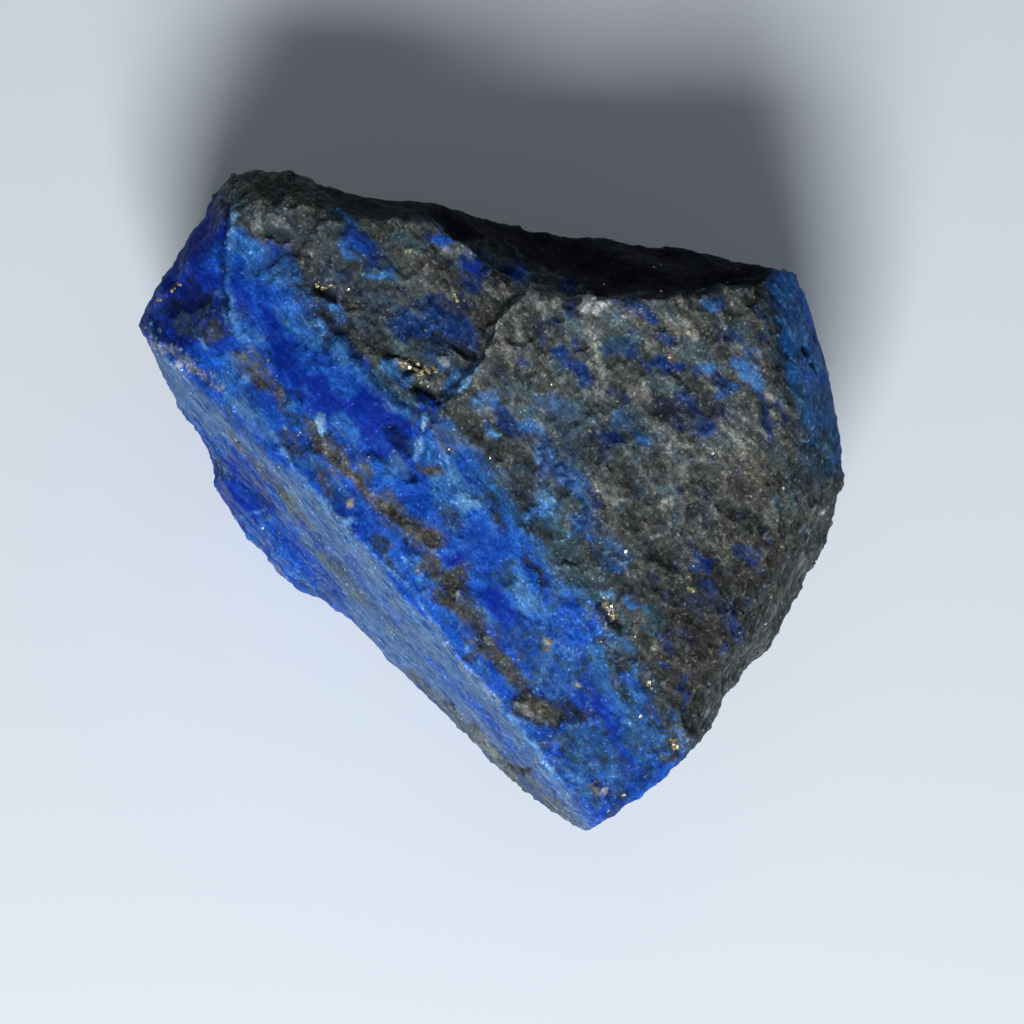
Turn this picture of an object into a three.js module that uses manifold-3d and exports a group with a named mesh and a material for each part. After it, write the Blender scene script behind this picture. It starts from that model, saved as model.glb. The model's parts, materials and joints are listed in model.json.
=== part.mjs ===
// Rough lapis lazuli: one broken block of stone, as it came off the face of a vein.
//
// Millimetres, +Z up. The stone lies on its flattest fracture, at Z = 0, with its broad rough
// face up, its flat joint face towards the front left and its steep back towards +Y.
// The origin is under the middle of its bounding box.
//
// The block is the hull of its corners. A foot is joined to it, and ledges, shell-shaped
// fractures, chips and pits are cut into it. An even skin of triangles is laid over that block,
// made uneven as broken rock is, and cut flat where the stone rests.

import * as THREE from "three";
import { ConvexGeometry } from "three/addons/geometries/ConvexGeometry.js";
import { ImprovedNoise } from "three/addons/math/ImprovedNoise.js";
import { mergeVertices } from "three/addons/utils/BufferGeometryUtils.js";
import Module from "manifold-3d";

const wasm = await Module();
wasm.setup();

// Driving dimensions: the stone's bounding box.
const LENGTH = 85; // along X, left corner to right flank
const DEPTH = 79; // along Y, front tip to back
const HEIGHT = 46; // resting face to the top of the back rim

// ---- Corners of the block ------------------------------------------------------------------

// Back rim of the broad top face, left to right.
const backRim = [
  [-29, 33, 39.5],
  [-18.5, 31.5, 41.5],
  [-6.5, 29, 43],
  [5.5, 24.5, 45.5],
  [14, 22.5, 46],
  [24.5, 20.5, 46],
  [31, 22, 44],
  [34, 25.5, 39],
];

// Crease between the top face and the left end face, back to front.
const leftCrease = [
  [-31, 32, 38.5],
  [-31, 26.5, 37.5],
  [-31.5, 19.5, 36],
];

// Ridge between the top face and the flat joint face, left corner to front tip.
const jointRidge = [
  [-42.5, 21.5, 27],
  [-39.5, 17.5, 30],
  [-31, 12, 34],
  [-26.5, 7.5, 35],
  [-17, -5, 36],
  [-8.5, -13.5, 35.5],
  [-3, -21.5, 34],
  [4, -29, 32],
  [10, -36.5, 29.5],
];

// Inner edge of the rounded right and front-right margin of the top face, back to front.
const rightShoulder = [
  [35, 17, 42],
  [37, 9, 41],
  [37.5, 3, 38.5],
  [35, -6.5, 35],
  [31.5, -13.5, 34],
  [27, -20, 33],
  [23.5, -25, 32],
  [18, -31, 31],
];

// Widest line of the stone, from the right flank round the front right to the tip.
const rightFlank = [
  [37, 25, 36],
  [38.5, 23, 32],
  [40.5, 17, 30],
  [41.5, 11.5, 29],
  [42.5, 7, 27],
  [42.5, 2, 26],
  [41.5, -1, 25],
  [39.5, -7, 24],
  [37, -11.5, 23],
  [33.5, -17, 23],
  [30, -21.5, 24],
  [27, -25.5, 25],
];
const frontTip = [
  [22, -30.5, 26],
  [18, -35.5, 26],
  [13, -39.5, 27],
  [12.3, -38.3, 15],
];

// Lower edge of the flat joint face.
const jointFoot = [
  [-41.5, 19, 18],
  [-37, 13, 9],
  [-30, 5.5, 6],
  [-18, -9, 5],
  [-11, -17.5, 7],
  [-6, -22.5, 8],
  [1.5, -30.5, 12],
  [7.5, -36, 16],
];

// Widest line along the back and round the left end.
const backFlank = [
  [34.5, 28.5, 27],
  [29, 31, 22],
  [21.5, 31, 21],
  [8, 32.5, 23],
  [-5, 34.5, 26],
  [-11, 36, 27],
  [-22, 38, 29],
  [-30, 39, 32],
  [-33.5, 36.5, 31],
  [-36, 33, 27],
  [-38.5, 29.5, 24],
  [-41.5, 26, 23],
];

// Outline of the underside, a little below the resting face, so that the cut there is whole.
const UNDERSIDE = -2;
const underside = [
  [-35, 14],
  [-36, 22],
  [-29, 33],
  [-8, 33.5],
  [14, 28],
  [29, 25],
  [36, 12],
  [35, -3],
  [27, -15],
  [14, -24],
  [4, -25],
  [-9, -14],
  [-28, 2],
].map(([x, y]) => [x, y, UNDERSIDE]);

// The deep blue foot that stands out below the joint face, at the front left.
const foot = [
  [-35, 10.5, 9],
  [-33, 4.3, 6],
  [-31.5, 1.5, 5],
  [-28.5, -1.5, 4.5],
  [-25, -5, 3.5],
  [-21, -8, 3],
  [-17, -10.5, 5],
  [-33, 11.3, 17],
  [-22, -1.7, 14],
  [-12, -13.5, 11],
  [-26, 6, UNDERSIDE],
  [-18, -4, UNDERSIDE],
  [-22, -4, UNDERSIDE],
  [-30, 3, UNDERSIDE],
];

// ---- Cuts ----------------------------------------------------------------------------------

const ABOVE = 60; // a height clear of the stone, for cutters that are open at the top

// Each ledge cut lowers the top face to a floor inside the outline of its corners.
const ledges = {
  hollowFront: [
    [-22, 26, 39.5],
    [-16.5, 17, 39.2],
    [-12, 12, 39.1],
    [-7.5, 7, 39],
    [-4, 10.5, 39.4],
    [0, 15, 40.2],
    [-3, 24, 41.8],
    [-14, 28, 41],
  ],
  hollowBack: [
    [-20, 27, 40.2],
    [-10, 18, 40],
    [-1, 16.5, 40.6],
    [2, 19, 41.4],
    [6.5, 21.8, 43.2],
    [9, 24, 44.6],
    [5, 32, 44.4],
    [-8, 36, 42.4],
    [-20, 38, 40.8],
  ],
  bandEnd: [
    [-6.8, 6.5, 38.9],
    [-8, 1.8, 38],
    [-16, 7, 38.3],
    [-20, 13, 38.6],
    [-13, 12, 39.4],
  ],
};

// Shell-shaped fractures: centre, radii along the cutter's own axes, and turn in degrees about Z.
const scoops = {
  backFace: { at: [18, 36.5, 44], radii: [28, 16, 24], turn: 0 },
  backRimLeft: { at: [-9, 53, 44], radii: [26, 23.5, 21], turn: -6 },
  backFoot: { at: [-14, 54, 4], radii: [26, 21, 17], turn: -8 },
  leftFoot: { at: [-57, 33, 4], radii: [21, 20, 18], turn: 0 },
  frontRightFoot: { at: [55, -46, -14], radii: [30, 52, 30], turn: 40 },
  tipFoot: { at: [4, -56, -2], radii: [40, 25, 20], turn: -48 },
};

const SCOOP_DETAIL = 6; // cuts across each of an icosahedron's edges

// Small breaks on the edges and hollows on the top face: centre and radius.
const CHIP_STRETCH = [1.3, 1, 0.9]; // along X, Y and Z
const chips = {
  rimLeft: { at: [-25, 36, 42], radius: 3.2 },
  rimRight: { at: [28.5, 24, 47.5], radius: 3.6 },
  ridgeLeft: { at: [-36.5, 12.5, 33], radius: 2.8 },
  ridgeMiddle: { at: [-14, -11, 37], radius: 2.6 },
  jointEdge: { at: [-8, -23.5, 5], radius: 3.4 },
  flankFront: { at: [31.5, -25, 24], radius: 3 },
  flankTip: { at: [21.5, -36.5, 25], radius: 3.2 },
  flankRight: { at: [43.5, -6, 26], radius: 3 },
  pyritePit: { at: [-19.6, 22.5, 40.6], radius: 1.5 },
  pyriteCleft: { at: [-10, 12.5, 40.6], radius: 1.6 },
  pyriteCleftEnd: { at: [-7.5, 9.8, 40.2], radius: 1.3 },
  darkPit: { at: [14.3, -16, 36.6], radius: 1.7 },
};

// ---- Skin ----------------------------------------------------------------------------------

const MIDDLE = new THREE.Vector3(9, 6, 21); // a point from which all of the surface is seen
const HALF_SIZE = new THREE.Vector3(LENGTH, DEPTH, HEIGHT).divideScalar(2);
const SKIN_DETAIL = 21; // cuts across each of an icosahedron's edges
const RIDGE_ANGLE = 30; // degrees; a sharper edge than this stays crisp
const RIDGE_SPREAD = 0.03; // radians seen from the middle; a vertex this near is drawn to it
const RIDGE_REACH = 5; // and this is the furthest it moves

// The rock's beds run along the flat joint face, and its lumps are longer along them.
const BED_DIRECTION = new THREE.Vector3(0.645, -0.764, 0);
const lumps = { along: 16, across: 12, height: 1.6 };
const beds = { along: 30, across: 6, height: 1 };
const knobs = { along: 6, across: 4, height: 0.8 };
const fractureLumps = { along: 16, across: 12, height: 1.8 };

// Joint faces that broke flat, each as a point on it and the way it faces, and how near it a
// point of the surface has to be to stay smooth.
const flatFaces = [
  { through: [-17, -5, 30], facing: [-0.76, -0.64, 0.1] },
  { through: [37, 9, 41], facing: [0.93, 0, 0.37] },
];
const FLAT_REACH = 2.5;
const FLAT_SHARE = 0.2; // of the unevenness that a flat face keeps

const NOISE_SHIFTS = [7.3, 19.1, 31.7]; // so that X, Y and Z are moved by different lumps
const WELD = 1e-4; // vertices closer than this are one

// A block that takes away all that is below the resting face.
const FLOOR_SIDE = 200;
const FLOOR_DEPTH = 20;

// ---- Helpers -----------------------------------------------------------------------------------

/** A geometry with nothing but its places, each vertex shared by the triangles around it. */
function bareGeometry(geometry) {
  const bare = geometry.clone();
  bare.deleteAttribute("normal");
  bare.deleteAttribute("uv");
  return mergeVertices(bare, WELD);
}

/** A closed three.js geometry as a manifold solid. */
function solidOf(geometry) {
  const bare = bareGeometry(geometry);
  return new wasm.Manifold(
    new wasm.Mesh({
      numProp: 3,
      vertProperties: bare.attributes.position.array,
      triVerts: new Uint32Array(bare.index.array),
    }),
  );
}

/** A manifold solid as a three.js geometry. */
function geometryOf(solid) {
  const mesh = solid.getMesh();
  return new THREE.BufferGeometry()
    .setAttribute("position", new THREE.BufferAttribute(mesh.vertProperties, 3))
    .setIndex(new THREE.BufferAttribute(mesh.triVerts, 1));
}

/** The hull of corners given as [x, y, z]. */
function hullOf(corners) {
  return solidOf(new ConvexGeometry(corners.map((corner) => new THREE.Vector3(...corner))));
}

/** A cutter that is open at the top, with its floor through the given corners. */
function ledgeCutter(floor) {
  return hullOf([...floor, ...floor.map(([x, y]) => [x, y, ABOVE])]);
}

/** A lumpy ellipsoid that leaves a shell-shaped fracture. */
function scoopCutter({ at, radii, turn }) {
  const ball = bareGeometry(new THREE.IcosahedronGeometry(1, SCOOP_DETAIL)).scale(...radii);
  ball.rotateZ(THREE.MathUtils.degToRad(turn)).translate(...at);
  roughen(ball, fractureLumps);
  return solidOf(ball);
}

/** A coarse ball that leaves a faceted chip or pit. */
function chipCutter({ at, radius }) {
  const ball = new THREE.IcosahedronGeometry(radius, 1).scale(...CHIP_STRETCH);
  return solidOf(ball.translate(...at));
}

/** The share of unevenness at a point: small on the flat joint faces, and 1 elsewhere. */
function unevennessAt(point) {
  let share = 1;
  for (const { through, facing } of flatFaces) {
    const away = point.clone().sub(new THREE.Vector3(...through));
    const distance = Math.abs(away.dot(new THREE.Vector3(...facing).normalize()));
    share = Math.min(share, Math.max(FLAT_SHARE, distance / FLAT_REACH));
  }
  return share;
}

const noise = new ImprovedNoise();

/** Moves each vertex by a smooth field of lumps that are longer along the beds than across. */
function roughen(geometry, { along, across, height }) {
  const position = geometry.attributes.position;
  const point = new THREE.Vector3();
  for (let i = 0; i < position.count; i++) {
    point.fromBufferAttribute(position, i);
    const lengthwise = point.dot(BED_DIRECTION);
    const at = point.clone().divideScalar(across);
    at.addScaledVector(BED_DIRECTION, lengthwise / along - lengthwise / across);
    const reach = height * unevennessAt(point);
    const [shiftX, shiftY, shiftZ] = NOISE_SHIFTS;
    point.x += reach * noise.noise(at.x + shiftX, at.y, at.z);
    point.y += reach * noise.noise(at.x, at.y + shiftY, at.z);
    point.z += reach * noise.noise(at.x, at.y, at.z + shiftZ);
    position.setXYZ(i, point.x, point.y, point.z);
  }
}

/** A place in the sphere's own scale, in which the middle is zero and the stone about round. */
function seenFromMiddle(place) {
  return place.clone().sub(MIDDLE).divide(HALF_SIZE);
}

/** The sharp edges of a geometry, as lines in the sphere's own scale. */
function ridgesOf(geometry) {
  const ends = new THREE.EdgesGeometry(geometry, RIDGE_ANGLE).attributes.position;
  const ridges = [];
  for (let i = 0; i < ends.count; i += 2) {
    const start = new THREE.Vector3().fromBufferAttribute(ends, i);
    const end = new THREE.Vector3().fromBufferAttribute(ends, i + 1);
    ridges.push([seenFromMiddle(start), seenFromMiddle(end)]);
  }
  return ridges;
}

/** Moves a point of the skin onto the sharp edge that its line of sight passes closest to. */
function drawToRidge(point, direction, ridges) {
  const sight = new THREE.Ray(new THREE.Vector3(), direction);
  const onRidge = new THREE.Vector3();
  const surface = point.clone();
  let nearest = RIDGE_SPREAD;
  for (const [start, end] of ridges) {
    const gap = Math.sqrt(sight.distanceSqToSegment(start, end, undefined, onRidge));
    const spread = gap / onRidge.length();
    if (spread >= nearest) continue;
    const place = onRidge.clone().multiply(HALF_SIZE).add(MIDDLE);
    if (place.distanceTo(surface) > RIDGE_REACH) continue;
    nearest = spread;
    point.copy(place);
  }
}

/** An even skin over a solid: a sphere's vertices, each sent out to the solid's surface. */
function skinOver(geometry) {
  const target = new THREE.Mesh(geometry, new THREE.MeshBasicMaterial({ side: THREE.DoubleSide }));
  const ridges = ridgesOf(geometry);
  const skin = bareGeometry(new THREE.IcosahedronGeometry(1, SKIN_DETAIL));
  const position = skin.attributes.position;
  const caster = new THREE.Raycaster();
  const direction = new THREE.Vector3();
  for (let i = 0; i < position.count; i++) {
    direction.fromBufferAttribute(position, i);
    caster.set(MIDDLE, direction.clone().multiply(HALF_SIZE).normalize());
    const { point } = caster.intersectObject(target).at(-1);
    drawToRidge(point, direction, ridges);
    position.setXYZ(i, point.x, point.y, point.z);
  }
  return skin;
}

// ---- Assembly --------------------------------------------------------------------------------

/** The block with its foot, before anything has broken off it. */
function wholeBlock() {
  const corners = [backRim, leftCrease, jointRidge, rightShoulder, rightFlank, frontTip];
  return hullOf([...corners, jointFoot, backFlank, underside].flat()).add(hullOf(foot));
}

/** The block as it broke, with its ledges, fractures, chips and pits. */
function brokenBlock() {
  let block = wholeBlock();
  for (const floor of Object.values(ledges)) block = block.subtract(ledgeCutter(floor));
  for (const scoop of Object.values(scoops)) block = block.subtract(scoopCutter(scoop));
  for (const chip of Object.values(chips)) block = block.subtract(chipCutter(chip));
  return geometryOf(block);
}

/** A geometry cut flat at Z = 0, with what is below that taken away. */
function restedOnFloor(geometry) {
  const floor = new THREE.BoxGeometry(FLOOR_SIDE, FLOOR_SIDE, FLOOR_DEPTH);
  floor.translate(0, 0, -FLOOR_DEPTH / 2);
  return geometryOf(solidOf(geometry).subtract(solidOf(floor)));
}

/** A geometry brought to the driving dimensions, with its underside's middle at the origin. */
function fitted(geometry) {
  geometry.computeBoundingBox();
  const size = geometry.boundingBox.getSize(new THREE.Vector3());
  geometry.center();
  geometry.scale(LENGTH / size.x, DEPTH / size.y, HEIGHT / size.z);
  return geometry.translate(0, 0, HEIGHT / 2);
}

/** The stone's surface: the skin over the broken block, made uneven and cut flat below. */
function stoneGeometry() {
  const skin = skinOver(brokenBlock());
  roughen(skin, lumps);
  roughen(skin, beds);
  roughen(skin, knobs);
  return fitted(restedOnFloor(skin));
}

const lapis = new THREE.MeshStandardMaterial({ color: 0x2a4fa8, roughness: 0.7, metalness: 0 });
const stone = new THREE.Mesh(stoneGeometry(), lapis);
stone.name = "lapis_lazuli";

const group = new THREE.Group();
group.add(stone);
export default group;
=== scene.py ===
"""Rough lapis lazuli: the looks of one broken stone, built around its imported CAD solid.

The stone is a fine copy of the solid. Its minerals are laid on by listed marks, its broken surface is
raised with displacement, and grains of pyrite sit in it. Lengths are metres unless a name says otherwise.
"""

import json
import logging
import math
import random
from collections.abc import Iterable
from dataclasses import dataclass
from enum import Enum

import bpy
import numpy as np
from mathutils import Matrix, Vector, noise

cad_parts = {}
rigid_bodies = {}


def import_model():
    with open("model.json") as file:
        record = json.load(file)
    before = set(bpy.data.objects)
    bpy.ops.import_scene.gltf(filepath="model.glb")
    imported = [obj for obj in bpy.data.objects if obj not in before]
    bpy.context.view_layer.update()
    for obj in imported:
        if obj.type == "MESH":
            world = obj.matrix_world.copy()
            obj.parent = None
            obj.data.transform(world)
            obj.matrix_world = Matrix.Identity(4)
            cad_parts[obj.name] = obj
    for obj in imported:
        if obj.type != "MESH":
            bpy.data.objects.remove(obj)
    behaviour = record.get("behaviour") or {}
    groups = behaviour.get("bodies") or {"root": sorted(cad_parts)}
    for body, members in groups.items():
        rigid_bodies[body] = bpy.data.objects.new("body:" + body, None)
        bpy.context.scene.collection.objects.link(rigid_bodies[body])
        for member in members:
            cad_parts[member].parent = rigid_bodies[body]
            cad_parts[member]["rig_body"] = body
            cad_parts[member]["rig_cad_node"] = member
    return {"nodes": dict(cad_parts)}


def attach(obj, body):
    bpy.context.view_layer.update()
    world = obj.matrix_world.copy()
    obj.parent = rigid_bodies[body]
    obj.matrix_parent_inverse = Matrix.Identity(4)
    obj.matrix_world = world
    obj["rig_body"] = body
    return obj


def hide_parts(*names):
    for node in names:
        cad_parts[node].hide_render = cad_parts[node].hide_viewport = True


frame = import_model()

LOG = logging.getLogger("lapis")
NODE = "lapis_lazuli"
BODY = "root"
MM = 0.001

Point = tuple[float, float]
Span = tuple[float, float]
Line = tuple[float, float, float]
Colour = tuple[float, float, float]
Array = np.ndarray


@dataclass(frozen=True)
class Tone:
    """One mineral's colour and surface, or a tone of painted shadow or highlight.

    colour is linear red, green and blue. grain is how strongly its grains differ, gloss how smooth it is,
    flecks the share of pale grains in it, partly painted glints, and relief how far it stands proud, in
    millimetres.
    """

    colour: Colour
    grain: float = 0.8
    gloss: float = 0.35
    flecks: float = 0.012
    relief: float = 0.0


class Mineral(Enum):
    """The minerals of the stone, and tones of painted shadow and highlight; their order picks the cloudy
    noise that each goes by.
    """

    ULTRAMARINE = Tone((0.003, 0.024, 0.300), grain=0.5, gloss=0.5, flecks=0.006)
    ROYAL = Tone((0.009, 0.078, 0.460), grain=0.7, gloss=0.5, flecks=0.010)
    LAZURITE = Tone((0.006, 0.036, 0.165), grain=0.8, flecks=0.03)
    NAVY = Tone((0.003, 0.012, 0.070), grain=0.7, flecks=0.01, relief=-0.2)
    OLIVE = Tone((0.100, 0.115, 0.098), grain=0.6, flecks=0.025)
    # Near-black painted shadow in pits, cracks, creases and the end face's shaded corner; it also sinks them.
    DEEP_SHADOW = Tone((0.005, 0.007, 0.012), grain=0.4, flecks=0.0, relief=-1.0)
    AZURE = Tone((0.034, 0.150, 0.430), grain=0.7, flecks=0.015)
    # Pale azure: the lapis's own lightest blue, and also painted highlight on lit edges, lips and the crest.
    SKY = Tone((0.125, 0.300, 0.560), grain=0.7, flecks=0.05, relief=0.15)
    PERIWINKLE = Tone((0.078, 0.170, 0.370), grain=0.45, flecks=0.02)
    TEAL = Tone((0.028, 0.074, 0.104), flecks=0.04)
    SLATE = Tone((0.028, 0.050, 0.088), flecks=0.04)
    LAPIS_SMOOTH = Tone((0.006, 0.074, 0.270), grain=0.35, gloss=0.55, flecks=0.01)
    MATRIX = Tone((0.054, 0.063, 0.064), grain=1.0, flecks=0.05)
    WARM = Tone((0.069, 0.068, 0.059), grain=1.0, flecks=0.045)
    LIMESTONE = Tone((0.150, 0.170, 0.170), grain=0.9, flecks=0.06, relief=0.1)
    CREAM = Tone((0.270, 0.270, 0.230), grain=0.6, flecks=0.035, relief=0.2)
    CALCITE = Tone((0.400, 0.440, 0.450), grain=0.5, flecks=0.05, relief=0.25)
    UMBER = Tone((0.030, 0.030, 0.029), grain=1.0, flecks=0.05, relief=-0.15)
    VEIN = Tone((0.066, 0.072, 0.062), grain=0.9, flecks=0.08, relief=-0.1)
    OCHRE = Tone((0.090, 0.084, 0.060), grain=0.9, flecks=0.04)
    # Pale painted highlight on the tops of the bevel's fine ridges, which it also raises.
    LIT_RIDGE = Tone((0.120, 0.140, 0.140), grain=0.5, flecks=0.02, relief=0.3)
    # Dark painted shade in the bevel's fine grooves, which it also sinks.
    SHADED_GROOVE = Tone((0.022, 0.026, 0.028), grain=0.45, flecks=0.02, relief=-0.3)
    BEVEL = Tone((0.050, 0.060, 0.063), grain=0.62, flecks=0.03)
    # Near-black painted shadow for the back faces, which are turned from the light.
    BACK_SHADOW = Tone((0.006, 0.009, 0.019), grain=0.52, flecks=0.01)


# Every mineral by its plain name, in the order above
(
    ULTRAMARINE, ROYAL, LAZURITE, NAVY, OLIVE, DEEP_SHADOW, AZURE, SKY, PERIWINKLE, TEAL, SLATE, LAPIS_SMOOTH,
    MATRIX, WARM, LIMESTONE, CREAM, CALCITE, UMBER, VEIN, OCHRE, LIT_RIDGE, SHADED_GROOVE, BEVEL, BACK_SHADOW
) = Mineral


def smooth_step(low: float, high: float, value: Array) -> Array:
    """Ease from 0 at low to 1 at high.

    Args:
        low: Value at and below which the result is 0.
        high: Value at and above which the result is 1.
        value: Values to ease.

    Returns:
        The eased values, from 0 to 1.
    """
    share = np.clip((value - low) / (high - low), 0.0, 1.0)
    return share * share * (3.0 - 2.0 * share)


# --------------------------------------
# The chart that marks are placed on, and the kinds of mark
# --------------------------------------


@dataclass(frozen=True)
class Chart:
    """A plan of the stone as the camera sees it, in squares; x runs to the right and y down."""

    squares: float = 1024.0
    square: float = 0.12 * MM
    middle: Line = (2.805 * MM, -1.392 * MM, 24.05 * MM)
    distance: float = 620 * MM
    elevation: float = math.radians(78)

    @property
    def towards_eye(self) -> Vector:
        """Unit vector from the middle of the view to the eye."""
        return Vector((0.0, -math.cos(self.elevation), math.sin(self.elevation)))

    @property
    def up(self) -> Vector:
        """Unit vector that points to the top of the chart."""
        return Vector((0.0, math.sin(self.elevation), math.cos(self.elevation)))

    @property
    def eye(self) -> Vector:
        """Where the stone is seen from."""
        return Vector(self.middle) + self.distance * self.towards_eye

    def squares_of(self, points: Array) -> Array:
        """Find where points fall on the chart.

        Args:
            points: Points of the stone, one a row.

        Returns:
            Chart squares, x to the right and y down, one pair a row.
        """
        local = points - np.array(self.middle)
        nearness = self.distance / (self.distance - local @ np.array(self.towards_eye))
        across = local[:, 0] * nearness / self.square
        upwards = local @ np.array(self.up) * nearness / self.square
        half = self.squares / 2
        return np.column_stack((half + across, half - upwards))


def distance_to_path(spots: Array, path: Iterable[Point]) -> Array:
    """Measure how far chart spots lie from a path of straight runs.

    Args:
        spots: Chart squares, one pair a row.
        path: The path's points.

    Returns:
        The distance of each spot, in squares.
    """
    points = np.array(list(path), float)
    nearest = np.full(len(spots), np.inf)
    for start, end in zip(points[:-1], points[1:]):
        run = end - start
        along = np.clip((spots - start) @ run / (run @ run), 0.0, 1.0)
        nearest = np.minimum(nearest, np.hypot(*(spots - start - along[:, None] * run).T))
    return nearest


def distance_to_outline(spots: Array, outline: Iterable[Point]) -> Array:
    """Measure how far chart spots lie inside a closed outline.

    Args:
        spots: Chart squares, one pair a row.
        outline: The outline's corners in order.

    Returns:
        The distance of each spot to the outline, in squares, negative inside it.
    """
    corners = list(outline)
    inside = np.zeros(len(spots), bool)
    for (x0, y0), (x1, y1) in zip(corners, corners[1:] + corners[:1]):
        if y0 == y1:
            continue
        crosses = (spots[:, 1] < y0) != (spots[:, 1] < y1)
        inside ^= crosses & (spots[:, 0] < x0 + (spots[:, 1] - y0) * (x1 - x0) / (y1 - y0))
    edge = distance_to_path(spots, corners + corners[:1])
    return np.where(inside, -edge, edge)


@dataclass(frozen=True)
class Fields:
    """Noise at every spot of the chart, which the marks share.

    fray, about -1 to 1, moves edges in and out, grains holds one value from 0 to 1 a grain, and clouds
    holds a few cloudy noises, which the minerals take in turn.
    """

    fray: Array
    grains: Array
    clouds: tuple[Array, ...]

    def cloud_of(self, mineral: Mineral) -> Array:
        """Pick the cloudy noise that a mineral goes by."""
        return self.clouds[list(Mineral).index(mineral) % len(self.clouds)]


def faded(depth: Array, edge: float, fields: Fields) -> Array:
    """Fade a mark out over a frayed edge.

    Args:
        depth: How deep inside the mark each spot lies, in squares.
        edge: How far the mark fades and frays, in squares.
        fields: The noise that it goes by.

    Returns:
        The share of each spot that lies inside, from 0 to 1.
    """
    return smooth_step(-edge / 2, edge / 2, depth + fields.fray * edge)


@dataclass(frozen=True)
class Mark:
    """A mark of one mineral on the chart; strength is the share of the ground that it hides."""

    mineral: Mineral
    strength: float
    points: tuple[Point, ...]

    def depth(self, spots: Array) -> Array:
        """Measure how deep inside the mark chart spots lie.

        Args:
            spots: Chart squares, one pair a row.

        Returns:
            The depth of each spot in squares, negative outside the mark.
        """
        return -distance_to_outline(spots, self.points)

    def cover(self, spots: Array, fields: Fields) -> Array:
        """Find the share of each chart spot that the mark hides.

        Args:
            spots: Chart squares, one pair a row.
            fields: The noise that it goes by.

        Returns:
            The share of each spot, from 0 to 1.
        """
        raise NotImplementedError


@dataclass(frozen=True)
class Streak(Mark):
    """A run of mineral along a path; radius is half its width, in squares."""

    radius: float

    LEAST_RADIUS = 2.2
    LEAST_EDGE = 2.0
    EDGE_SHARE = 0.7

    def depth(self, spots: Array) -> Array:
        """Measure how deep inside the streak chart spots lie, as Mark.depth does."""
        return max(self.radius, self.LEAST_RADIUS) - distance_to_path(spots, self.points)

    def cover(self, spots: Array, fields: Fields) -> Array:
        """Find the share of each chart spot that the streak hides, as Mark.cover does."""
        edge = self.LEAST_EDGE + self.EDGE_SHARE * self.radius
        return self.strength * faded(self.depth(spots), edge, fields)


@dataclass(frozen=True)
class Patch(Mark):
    """A patch of mineral inside an outline; edge is how far it fades and frays, in squares."""

    edge: float

    def cover(self, spots: Array, fields: Fields) -> Array:
        """Find the share of each chart spot that the patch hides, as Mark.cover does."""
        return self.strength * faded(self.depth(spots), self.edge, fields)


@dataclass(frozen=True)
class Scatter(Mark):
    """Separate grains of mineral inside an outline; share is how much of it they fill."""

    share: float

    EDGE = 8.0
    GRAIN_EDGE = 0.06

    def cover(self, spots: Array, fields: Fields) -> Array:
        """Find the share of each chart spot that the grains hide, as Mark.cover does."""
        least = 1.0 - self.share
        filled = smooth_step(least - self.GRAIN_EDGE, least + self.GRAIN_EDGE, fields.grains)
        return self.strength * faded(self.depth(spots), self.EDGE, fields) * filled


@dataclass(frozen=True)
class Cloud(Mark):
    """Clouds of mineral inside an outline; share is how much of it they fill."""

    share: float

    EDGE = 16.0
    CLOUD_EDGE = 0.10

    def cover(self, spots: Array, fields: Fields) -> Array:
        """Find the share of each chart spot that the clouds hide, as Mark.cover does."""
        clouded = fields.cloud_of(self.mineral)
        least = np.quantile(clouded, 1.0 - self.share)
        filled = smooth_step(least - self.CLOUD_EDGE, least + self.CLOUD_EDGE, clouded)
        return self.strength * faded(self.depth(spots), self.EDGE, fields) * filled


def streak(mineral: Mineral, radius: float, strength: float, *path: Point) -> Streak:
    """Lay a streak of mineral along the path's points."""
    return Streak(mineral, strength, path, radius)


def patch(mineral: Mineral, edge: float, strength: float, *outline: Point) -> Patch:
    """Lay a patch of mineral inside the outline's corners."""
    return Patch(mineral, strength, outline, edge)


def scatter(mineral: Mineral, share: float, strength: float, *outline: Point) -> Scatter:
    """Scatter grains of mineral inside the outline's corners."""
    return Scatter(mineral, strength, outline, share)


def cloud(mineral: Mineral, share: float, strength: float, *outline: Point) -> Cloud:
    """Lay clouds of mineral inside the outline's corners."""
    return Cloud(mineral, strength, outline, share)


# --------------------------------------
# The marks, zone by zone, placed on the chart; those of a zone are laid in order
# --------------------------------------

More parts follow.
